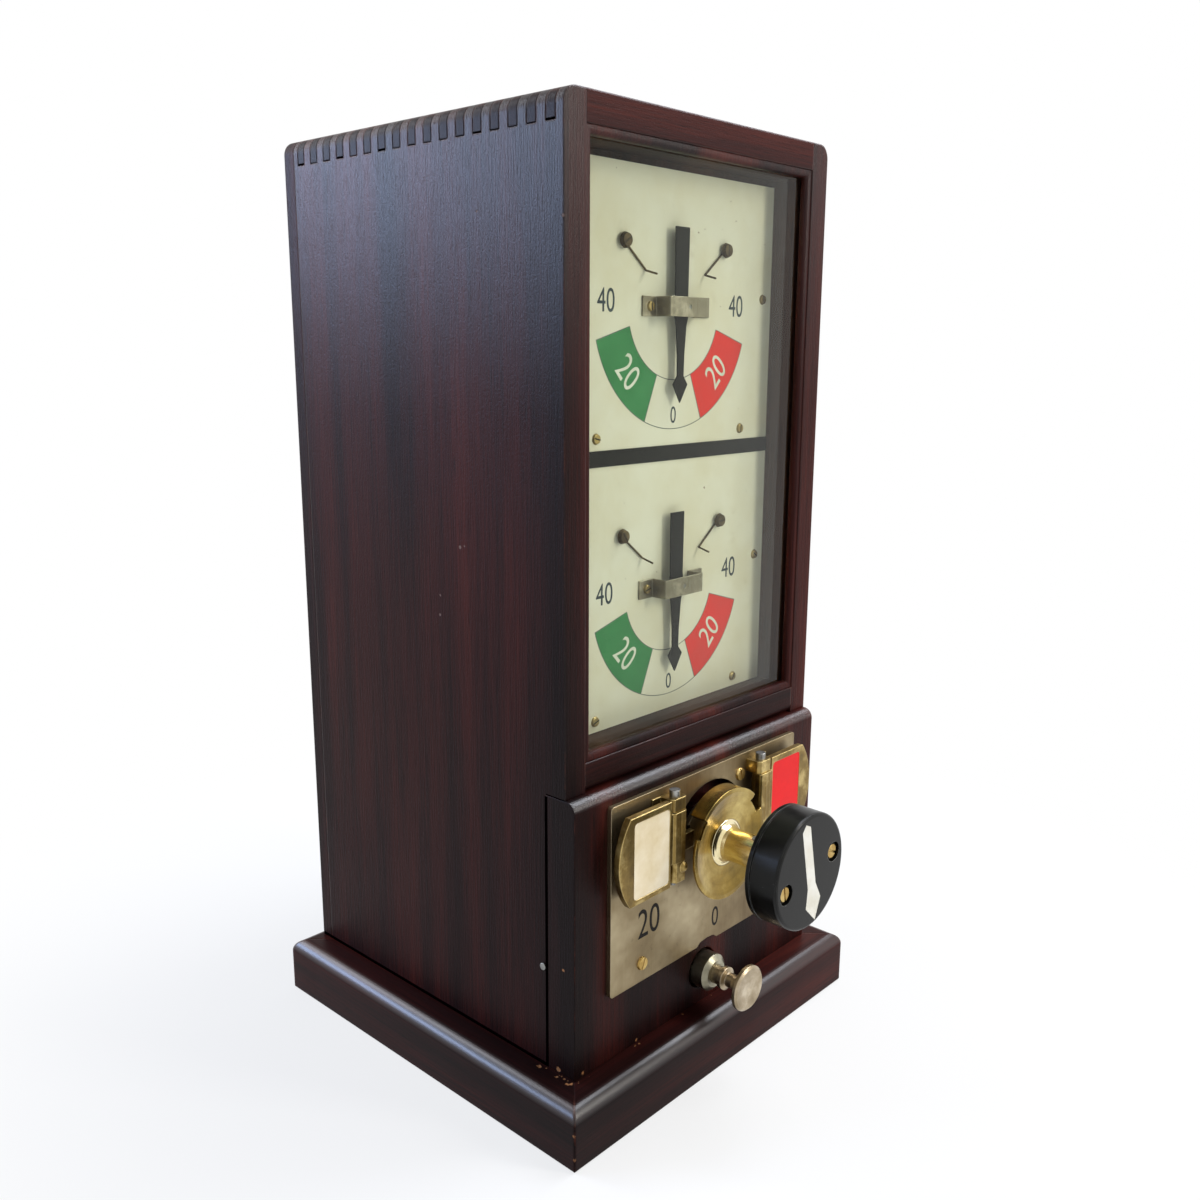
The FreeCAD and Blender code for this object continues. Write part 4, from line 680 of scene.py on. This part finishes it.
# black enamel paint on metal: flat and a little dusty
blackPaint = {
    **ebonite,
    "main": "#0d0c0b",
    "greyed": "#1b1916",
    "worn": "#3e3832",
    "marks": 0.3,
    "edge": 0.3,
    "rub": 0.6,
    "roughness": 0.5,
    "ior": 1.5,
    "sheen": 0.15,
}


# Old drawn window glass: a thin clear pane, faintly wavy, that mirrors a little more at a slant
glassLook = {
    "clear": "#f8faf5",
    "mirror": 0.25,
    "straightShare": 0.04,
    "roughness": 0.03,
    "wavePatch": (83.333, 83.333, 200),
    "waves": 0.05,
    "reliefDepth": 0.3,
    "dust": "#cfcabd",
    "dustPatch": 3.8462,
    "dustAmount": 0.06,
}


def glassMaterial(look=glassLook):
    material, tree, shader = newMaterial("window_glass_drawn")
    tree.nodes.remove(shader)
    ripple = clouding(tree, look["wavePatch"], 2, 0.4)
    wavy = relief(tree, [(ripple, look["waves"])], look["reliefDepth"])
    clear = add(tree, "BsdfTransparent", {"Color": colour(look["clear"])})
    mirror = add(tree, "BsdfGlossy", {"Color": grey(1), "Roughness": look["roughness"], "Normal": wavy})
    slant = add(tree, "LayerWeight", {"Blend": 0.5, "Normal": wavy}, "Facing")
    stops = [(0.3, grey(look["straightShare"] * look["mirror"])), (0.95, grey(look["mirror"]))]
    shine = add(tree, "ValToRGB", {"Fac": slant}, "Color", stops, "EASE")
    pane = add(tree, "MixShader", {"Fac": shine, 1: clear, 2: mirror})
    dust = add(tree, "BsdfDiffuse", {"Color": colour(look["dust"])})
    specks = clouding(tree, [look["dustPatch"]] * 3, 5, 0.7)
    dustStops = [(0.6, grey(0.0)), (0.8, grey(look["dustAmount"]))]
    settled = add(tree, "ValToRGB", {"Fac": specks}, "Color", dustStops)
    dusty = add(tree, "MixShader", {"Fac": settled, 1: pane, 2: dust})
    tree.links.new(dusty, tree.nodes["Material Output"].inputs["Surface"])
    return material


# Silk-covered copper wire wound on a former: dull green with parallel turns, drawn wider than the real
# wire so that they show; the darker green between the turns is painted shade in the grooves
windingLook = {
    "pitch": 1.7756,  # mm from one turn to the next
    "stripe": 0.31416,  # length of the wave node's own stripe at scale 1
    # the darker colour between the turns is painted shade in the grooves between wires
    "between": "#10251a",
    "silk": "#2f5a3c",
    "roughness": 0.7,
    "reliefDepth": 0.4,
}


def windingMaterial(look=windingLook):
    material, tree, shader = newMaterial("silk_wound_wire")
    wave = {"Vector": add(tree, "TexCoord", give="Object"), "Scale": look["stripe"] / (look["pitch"] * mm)}
    wires = add(tree, "TexWave", wave, 1, bands_direction="Y")
    # the dark stop is painted shade between the turns
    stops = [(0.2, colour(look["between"])), (0.8, colour(look["silk"]))]
    base = add(tree, "ValToRGB", {"Fac": wires}, "Color", stops)
    tree.links.new(base, shader.inputs["Base Color"])
    shader.inputs["Roughness"].default_value = look["roughness"]
    tree.links.new(relief(tree, [(wires, 0.6)], look["reliefDepth"]), shader.inputs["Normal"])
    return material


# the pointer's white is dirty in its scratches, and the flaps' gloss paint is scuffed through to a darker coat
pointerPaint = {**signPaint, "main": "#e9e7dd", "faded": "#d8d3c2", "scuff": 0.3, "under": "#8d867a"}
creamPaint = {
    **signPaint,
    "main": "#ecdfc2",
    "faded": "#dccaa2",
    "roughness": 0.42,
    "scuff": 0.5,
    "under": "#8a7350",
}
flapRed = {**signPaint, "main": "#e8080e", "faded": "#dc0a0e", "scuff": 0.3, "under": "#5a1512"}
materials = {
    "back_wood": woodBack,
    "bead_wood": woodUp,
    "board_wood": liningWood,
    "glass": glassMaterial(),
    "dial_enamel": enamelMaterial("stove_enamel_cream"),
    "divider_black": blackMaterial("black_painted_strip", blackPaint),
    "needle_black": blackMaterial("black_lacquered_needle", blackPaint),
    "bridge_nickel": metalMaterial("dull_nickel_strip", nickel),
    "small_screw_brass": metalMaterial("aged_brass_screws", smallBrass),
    "stop_bronze": metalMaterial("bronzed_stops", darkBronze),
    "steel": metalMaterial("turned_steel", greySteel),
    "plain_brass": metalMaterial("drawn_brass", plainBrass),
    "coil_wire": windingMaterial(),
    "plate_brass": metalMaterial("aged_sheet_brass", plateBrass),
    "screw_brass": metalMaterial("worn_brass_screws", plainBrass),
    "disc_brass": metalMaterial("lathe_turned_brass", turnedBrass),
    "ebonite": blackMaterial("turned_ebonite", ebonite),
    "knob_black": blackMaterial("satin_black_knob", satinBlack),
    "pointer_white": paintMaterial("white_inlay", pointerPaint),
    "flap_bronze": metalMaterial("filed_cast_brass", flapBrass),
    "panel_cream": paintMaterial("cream_flap_paint", creamPaint),
    "panel_red": paintMaterial("red_flap_paint", flapRed),
    "collar_nickel": metalMaterial("turned_nickel_collar", collarNickel),
    "tapper_metal": metalMaterial("rubbed_nickel_tapper", tapperNickel),
}
# pieces that differ from the rest of their slot
ownFinish = {
    # the hub's paler brass is a painted highlight
    "commutator_hub": metalMaterial("lathe_brass_painted_bright", hubBrassPaintedBright),
    "side_panel_left": woodUp,
    "side_panel_right": woodUp,
    "commutator_cover": woodCover,
    "top_panel": woodAcross,
    "front_rail": woodAcross,
    "base_moulding_front": baseAcross,
    "base_moulding_back": baseAcross,
    "base_board": woodAcross,
    "base_moulding_left": baseDeep,
    "base_moulding_right": baseDeep,
    "window_lining": liningWood,
}
slotOf = {entry["node"]: entry["material_slot"] for entry in frame["record"]["subparts"]}
for name, piece in nodes.items():
    chosen = ownFinish.get(name) or materials[slotOf[name]]
    for slot in piece.material_slots:
        slot.material = chosen
    if not piece.material_slots:
        piece.data.materials.append(chosen)
print("finishes on the model's own parts")


# small mesh helpers: everything is written in millimetres in the model's frame
def meshPiece(name, points, faces, material, body="case"):
    mesh = bpy.data.meshes.new(name)
    mesh.from_pydata([Vector(p) * mm for p in points], [], faces)
    mesh.validate()
    mesh.update()
    piece = bpy.data.objects.new(name, mesh)
    bpy.context.scene.collection.objects.link(piece)
    mesh.materials.append(material)
    if body:
        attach(piece, body)
    return piece


# one closed bar from rings of four corners each
def bar(rings):
    verts = [corner for ring in rings for corner in ring]
    faces = []
    for row in range(len(rings) - 1):
        for side in range(4):
            a, b = 4 * row + side, 4 * row + (side + 1) % 4
            faces.append((a, b, b + 4, a + 4))
    last = 4 * (len(rings) - 1)
    return verts, faces + [(3, 2, 1, 0), (last, last + 1, last + 2, last + 3)]


def joinMeshes(parts):
    verts = []
    faces = []
    for partVerts, partFaces in parts:
        start = len(verts)
        verts.extend(partVerts)
        faces.extend(tuple(i + start for i in face) for face in partFaces)
    return verts, faces


# a flat arc in front of a dial, angles in degrees from the right-hand side
def arcBand(cz, inner, outer, start, end, steps, yFront, yBack):
    rings = []
    corners = ((inner, yFront), (outer, yFront), (outer, yBack), (inner, yBack))
    for i in range(steps + 1):
        t = math.radians(start + (end - start) * i / steps)
        rings.append([(r * math.cos(t), y, cz + r * math.sin(t)) for r, y in corners])
    return bar(rings)


# raised or filled numerals: narrow upright figures, standing in the xz plane
numeralLook = {"capHeight": 0.72, "narrow": 0.8}


def numeral(name, text, x, z, height, yFront, thick, material, turn=0.0):
    font = bpy.data.curves.new(name + "Curve", "FONT")
    font.body = text
    font.size = height * mm / numeralLook["capHeight"]
    font.align_x = "CENTER"
    font.align_y = "CENTER"
    font.extrude = thick * mm / 2
    font.resolution_u = 6
    holder = bpy.data.objects.new(name + "Curve", font)
    bpy.context.scene.collection.objects.link(holder)
    bpy.context.view_layer.update()
    mesh = bpy.data.meshes.new_from_object(holder)
    bpy.data.objects.remove(holder)
    move = Matrix.Translation((x * mm, (yFront + thick / 2) * mm, z * mm))
    stand = Matrix.Rotation(math.radians(90), 4, "X")
    spin = Matrix.Rotation(math.radians(turn), 4, "Z")
    mesh.transform(move @ stand @ spin @ Matrix.Diagonal((numeralLook["narrow"], 1, 1, 1)))
    mesh.materials.clear()
    mesh.materials.append(material)
    piece = bpy.data.objects.new(name, mesh)
    bpy.context.scene.collection.objects.link(piece)
    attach(piece, "case")
    return piece


# dial faces: a green, a bare and a red sector below each pivot, thin line arcs, plain numerals
dialArt = {
    "front": -82.0,
    "proud": 0.06,
    "sunk": 0.02,
    "inner": 39.0,
    "outer": 66.0,
    "greenFrom": 196.0,
    "greenTo": 248.0,
    "redFrom": 292.0,
    "redTo": 343.0,
    "sectorSteps": 24,
    "line": 0.45,
    "lineSteps": 60,
    "lineMiddle": 52,
    "sectorNumeral": {"height": 15.5, "reach": 52.5, "angles": (222, 317.5)},
    "zeroNumeral": {"height": 9.5, "reach": 58.8, "angle": 270},
    "sideNumeral": {"height": 12.5, "offset": 56.0, "rise": 1.5, "thick": 0.07},
    "numeralProud": 0.05,
    "numeralThick": 0.06,
}
greenPaint = paintMaterial("green_sector_paint", {**signPaint, "main": "#307c47", "faded": "#3b8750"})
redPaint = paintMaterial("red_sector_paint", {**signPaint, "main": "#e42a22", "faded": "#d83027"})
whiteLook = {**signPaint, "main": "#e4e6da", "faded": "#cfd3c2", "scuff": 0.3}
whitePaint = paintMaterial("white_numeral_paint", whiteLook)
inkLook = {**signPaint, "main": "#27333c", "faded": "#3d4850", "roughness": 0.45, "scuff": 0.35}
inkPaint = paintMaterial("blue_black_numeral_paint", inkLook)
outlineLook = {**signPaint, "main": "#5d6660", "faded": "#7a8078", "roughness": 0.5, "scuff": 0.3}
outlinePaint = paintMaterial("grey_line_paint", outlineLook)


def dialCentre(label):
    low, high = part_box("bridge_" + label)
    return (low[2] + high[2]) / 2 / mm


def dialFace(label):
    look = dialArt
    centre = dialCentre(label)
    front = look["front"] - look["proud"]
    back = look["front"] + look["sunk"]
    band = (look["inner"], look["outer"])
    for word, paint in (("green", greenPaint), ("red", redPaint)):
        start, end = look[word + "From"], look[word + "To"]
        verts, faces = arcBand(centre, *band, start, end, look["sectorSteps"], front, back)
        meshPiece(word + "_sector_" + label, verts, faces, paint)
    lineFront = front - look["sunk"]
    parts = []
    for radius in band:
        edges = (radius - look["line"] / 2, radius + look["line"] / 2)
        parts.append(arcBand(centre, *edges, look["greenFrom"], look["redTo"], look["lineSteps"], lineFront, back))
    half = math.degrees(look["line"] / 2 / look["lineMiddle"])
    for angle in (look["greenFrom"], look["greenTo"], look["redFrom"], look["redTo"]):
        parts.append(arcBand(centre, *band, angle - half, angle + half, 1, lineFront, back))
    verts, faces = joinMeshes(parts)
    meshPiece("sector_outline_" + label, verts, faces, outlinePaint)
    proud, thick = look["numeralProud"], look["numeralThick"]
    left, right = look["sectorNumeral"]["angles"]
    down = look["zeroNumeral"]["angle"]
    for text, angle, paint in (("20", left, whitePaint), ("0", down, inkPaint), ("20", right, whitePaint)):
        figure = look["zeroNumeral"] if text == "0" else look["sectorNumeral"]
        x = figure["reach"] * math.cos(math.radians(angle))
        z = centre + figure["reach"] * math.sin(math.radians(angle))
        name = "sector_numeral_%d_%s" % (angle, label)
        numeral(name, text, x, z, figure["height"], front - proud, thick, paint, angle - down)
    figure = look["sideNumeral"]
    for word, side in (("left", -1), ("right", 1)):
        x = side * figure["offset"]
        z = centre + figure["rise"]
        name = "side_numeral_%s_%s" % (word, label)
        numeral(name, "40", x, z, figure["height"], lineFront, figure["thick"], inkPaint)


for label in ("upper", "lower"):
    dialFace(label)
print("dial faces painted")


# slots in the small screws: short dark grooves on the heads, drawn as thin black strips that are painted shade in the
# slots, with dirt in them
slotLook = {
    "width": 0.7,
    "depth": 0.05,
    "sunk": 0.02,
    "dial_screw": {"face": -83.2, "length": 4.6, "upper": (82.5, 6.8), "lower": (63.2, 6.3)},
    "bridge_screw": {"face": -84.4, "length": 4.3, "beside": 22},
    "stop_screw": {"face": -85.8, "length": 6.4, "above": (43.3, 32.5)},
}
# the slots' black is painted shade in the grooves, with dirt
slotShadeInk = blackMaterial("dirt_and_painted_shade_in_screw_slots", {**blackPaint, "rub": 0.0})
dice = random.Random(11)


def screwSlots(kind, label, spots):
    look = slotLook[kind]
    long, wide = look["length"] / 2, slotLook["width"] / 2
    front, back = look["face"] - slotLook["depth"], look["face"] + slotLook["sunk"]
    turns = [dice.uniform(0, 180) for _ in spots]
    parts = []
    for (x, z), turnBy in zip(spots, turns):
        c = math.cos(math.radians(turnBy))
        s = math.sin(math.radians(turnBy))
        corners = ((-wide, front), (wide, front), (wide, back), (-wide, back))
        rings = [[(x + a * c - b * s, y, z + a * s + b * c) for b, y in corners] for a in (long, -long)]
        parts.append(bar(rings))
    verts, faces = joinMeshes(parts)
    meshPiece(kind + "_slots_" + label, verts, faces, slotShadeInk)


for label in ("upper", "lower"):
    centre = dialCentre(label)
    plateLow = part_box("dial_plate_" + label)[0][2] / mm
    beside, above = slotLook["dial_screw"]["upper"]
    spots = [(side * beside, centre + above) for side in (-1, 1)]
    beside, above = slotLook["dial_screw"]["lower"]
    spots += [(side * beside, plateLow + above) for side in (-1, 1)]
    screwSlots("dial_screw", label, spots)
    beside = slotLook["bridge_screw"]["beside"]
    screwSlots("bridge_screw", label, [(side * beside, centre) for side in (-1, 1)])
    beside, above = slotLook["stop_screw"]["above"]
    screwSlots("stop_screw", label, [(side * beside, centre + above) for side in (-1, 1)])
print("screw slots cut")

# near-black lines where boards meet: painted shade in the gaps between boards, and dirt in the joints; too dark and
# too dull to shine
caseLook = {"side": 110.5, "jointLow": 523.0, "jointHigh": 530.2}  # the side's x, and the joint's heights
jointDirtAndShadeLook = {**blackPaint, "main": "#020101", "greyed": "#060303", "rub": 0.0, "roughness": 0.8, "sheen": 0.0}
jointDirtAndShadeInk = blackMaterial("dirt_and_painted_shade_in_joints", jointDirtAndShadeLook)


# a thin strip that lies on one side of the case
def sideStrip(side, proud, ya, yb, za, zb):
    inner, outer = sorted((side * caseLook["side"], side * (caseLook["side"] + proud)))
    corners = ((ya, za), (yb, za), (yb, zb), (ya, zb))
    return bar([[(x, y, z) for y, z in corners] for x in (inner, outer)])


# finger joints: painted shade in the gaps under each finger, and dark hairlines up their sides
jointLook = {
    "fingers": 17,
    "first": -100.3,
    "width": 6.3516,
    "gap": 0.9,
    "gapShares": (0.35, 0.6, 1.0, 1.25),
    "inset": 0.2,
    "hairline": 0.2,
    "proud": 0.05,
}


def fingerJoints(side, label):
    look = jointLook
    low, high = caseLook["jointLow"], caseLook["jointHigh"]
    parts = []
    for i in range(look["fingers"]):
        y0 = look["first"] + 2 * i * look["width"]
        y1 = y0 + look["width"]
        tall = look["gap"] * dice.choice(look["gapShares"])
        # the strip under each finger is painted shade in its gap
        strips = [(y0 + look["inset"], y1 - look["inset"], low, low + tall)]
        strips.append((y0, y0 + look["hairline"] * dice.uniform(0.3, 1.0), low, high))
        strips.append((y1 - look["hairline"] * dice.uniform(0.3, 1.0), y1, low, high))
        parts += [sideStrip(side, look["proud"], *strip) for strip in strips]
    verts, faces = joinMeshes(parts)
    meshPiece("joint_lines_" + label, verts, faces, jointDirtAndShadeInk)


fingerJoints(-1, "left")
fingerJoints(1, "right")
print("joint lines drawn")

# engraved numerals on the brass plate, filled with black wax that looks flat and deep
plateArt = {"front": -115.3, "deep": 0.05, "thick": 0.06, "tall": 17.6, "zeroTall": 12.65}
waxInk = blackMaterial("black_wax_filling", {**blackPaint, "main": "#14100c", "greyed": "#241c14"})
plateNumerals = {
    "left": ("20", -54, 108.5, plateArt["tall"]),
    "middle": ("0", 7.5, 88.0, plateArt["zeroTall"]),
    "right": ("20", 54, 108.5, plateArt["tall"]),
}
for spot, (text, x, z, height) in plateNumerals.items():
    front = plateArt["front"] - plateArt["deep"]
    numeral("plate_numeral_" + spot, text, x, z, height, front, plateArt["thick"], waxInk)
print("plate numerals cut")

# dark seams on both sides, painted shade in the gaps: behind the cover, over its top, and along the foot of the case
seamLook = {
    "proud": 0.06,
    "wide": 2.0,
    "behindCover": (-91.5, 35.2, 193.0),  # y of its middle, lowest and highest z
    "overCover": (-105.2, -91.6, 193.9, 194.5),  # first and last y, lowest and highest z
    "alongFoot": (-91.0, 122.5),  # first and last y
}
middle, low, high = seamLook["behindCover"]
seams = [
    (middle - seamLook["wide"] / 2, middle + seamLook["wide"] / 2, low, high),
    seamLook["overCover"],
    (*seamLook["alongFoot"], baseTop, baseTop + seamLook["wide"]),
]
# these strips are painted shadow in the gaps between the boards
verts, faces = joinMeshes([sideStrip(side, seamLook["proud"], *seam) for side in (-1, 1) for seam in seams])
meshPiece("painted_shade_in_board_seams", verts, faces, jointDirtAndShadeInk)
print("seams drawn")

# the tapper's flat spring, between its block and the plunger that pushes it back, is drawn as a straight bar in rows
# along its height, in place of the model's own
bladeLook = {"rows": 28, "plungerRadius": 5.5}
(xLow, yLow, zLow), (xHigh, yHigh, zHigh) = [[v / mm for v in corner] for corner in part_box("tapper_spring")]
rings = []
for row in range(bladeLook["rows"] + 1):
    z = zLow + (zHigh - zLow) * row / bladeLook["rows"]
    rings.append([(xLow, yLow, z), (xHigh, yLow, z), (xHigh, yHigh, z), (xLow, yHigh, z)])
verts, faces = bar(rings)
blade = meshPiece("tapper_blade", verts, faces, materials[slotOf["tapper_spring"]], None)
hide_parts("tapper_spring")
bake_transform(blade)
print("tapper spring drawn")

# soft edges, in mm, catch the light on the boards and the metal parts
softEdges = {
    "side_panel_left": 0.8,
    "side_panel_right": 0.8,
    "commutator_cover": 0.8,
    "front_rail": 0.5,
    "back_panel": 0.6,
    "commutator_plate": 0.35,
    "flap_panel_left": 0.2,
    "flap_panel_right": 0.2,
    "bridge_upper": 0.2,
    "bridge_lower": 0.2,
}
for name, width in softEdges.items():
    edge = nodes[name].modifiers.new("soft_edge", "BEVEL")
    edge.width = width * mm
    edge.segments = 2
    edge.limit_method = "ANGLE"
    edge.angle_limit = math.radians(50)
    edge.use_clamp_overlap = True
print("edges softened")


# 1 for what the camera sees straight, through the glass or mirrored
def seenByCamera(tree):
    rays = add(tree, "LightPath", give=None)
    seen = rays.outputs["Is Camera Ray"]
    for kind in ("Is Transmission Ray", "Is Glossy Ray"):
        seen = add(tree, "Math", {0: seen, 1: rays.outputs[kind]}, operation="MAXIMUM")
    return seen


# pale paper floor: the lit paper stays near the object, with its shadow, and turns to plain white further out
floorLook = {
    "size": 12.0,
    "colour": "#e9e9e8",
    "roughness": 0.9,
    "fibre": 25,
    "near": 0.72,
    "whiteNear": 0.18,
    "whiteFrom": 0.55,
}
floorMaterial, floorTree, floorShader = newMaterial("floor_paper")
floorShader.inputs["Base Color"].default_value = colour(floorLook["colour"])
floorShader.inputs["Roughness"].default_value = floorLook["roughness"]
fibres = clouding(floorTree, [floorLook["fibre"]] * 3, 3, 0.5)
floorTree.links.new(relief(floorTree, [(fibres, 0.05)], 1), floorShader.inputs["Normal"])
glow = add(floorTree, "Emission", {"Color": grey(1), "Strength": 1.0})
floorPlace = add(floorTree, "TexCoord", give="Object")
away = add(floorTree, "VectorMath", {0: floorPlace}, "Value", operation="LENGTH")
fadeStops = [(floorLook["whiteNear"], grey(floorLook["near"])), (floorLook["whiteFrom"], grey(1))]
fade = add(floorTree, "ValToRGB", {"Fac": away}, "Color", fadeStops, "EASE")
share = add(floorTree, "Math", {0: seenByCamera(floorTree), 1: fade}, operation="MULTIPLY")
floorMix = add(floorTree, "MixShader", {"Fac": share, 1: floorShader.outputs[0], 2: glow})
floorTree.links.new(floorMix, floorTree.nodes["Material Output"].inputs["Surface"])
half = floorLook["size"] / 2
floorMesh = bpy.data.meshes.new("floor")
floorMesh.from_pydata([(-half, -half, 0), (half, -half, 0), (half, half, 0), (-half, half, 0)], [], [(0, 1, 2, 3)])
floorMesh.materials.append(floorMaterial)
floor = bpy.data.objects.new("floor", floorMesh)
bpy.context.scene.collection.objects.link(floor)

# studio: dim pale surroundings that the camera sees as white
worldLook = {"tint": "#eef1f5", "strength": 0.34}
world = bpy.data.worlds.new("studio")
bpy.context.scene.world = world
world.use_nodes = True
worldTree = world.node_tree
worldTree.nodes.clear()
ambient = add(worldTree, "Background", {"Color": colour(worldLook["tint"]), "Strength": worldLook["strength"]})
white = add(worldTree, "Background", {"Color": grey(1), "Strength": 1.0})
worldMix = add(worldTree, "MixShader", {"Fac": seenByCamera(worldTree), 1: ambient, 2: white})
add(worldTree, "OutputWorld", {"Surface": worldMix}, None)

# a soft overhead light, a weak warm one in front, a cool window at the left and a weak one behind
lamps = {
    "overhead": {"place": (0.75, -0.35, 1.5), "aim": (0, 0, 0.25), "size": (0.7, 1.1), "power": 24, "tint": "#f2f6ff"},
    "front": {"place": (0.75, -1.6, 1.0), "aim": (0, 0, 0.28), "size": (0.35, 1.1), "power": 17, "tint": "#fffaf2"},
    "left": {"place": (-1.55, 1.75, 0.88), "aim": (-0.1, 0, 0.45), "size": (1.5, 0.7), "power": 46, "tint": "#b9d2ff"},
    "behind": {"place": (-0.65, 1.45, 1.45), "aim": (0, 0, 0.2), "size": (0.5, 1.2), "power": 14, "tint": "#eef3ff"},
}
for name, look in lamps.items():
    lamp = bpy.data.lights.new(name, "AREA")
    lamp.shape = "RECTANGLE"
    lamp.size, lamp.size_y = look["size"]
    lamp.energy = look["power"]
    lamp.color = colour(look["tint"])[:3]
    holder = bpy.data.objects.new(name, lamp)
    bpy.context.scene.collection.objects.link(holder)
    direction = Vector(look["aim"]) - Vector(look["place"])
    facing = direction.to_track_quat("-Z", "Y").to_matrix().to_4x4()
    holder.matrix_world = Matrix.Translation(look["place"]) @ facing
bpy.context.scene.view_settings.view_transform = "Standard"
print("studio lit")
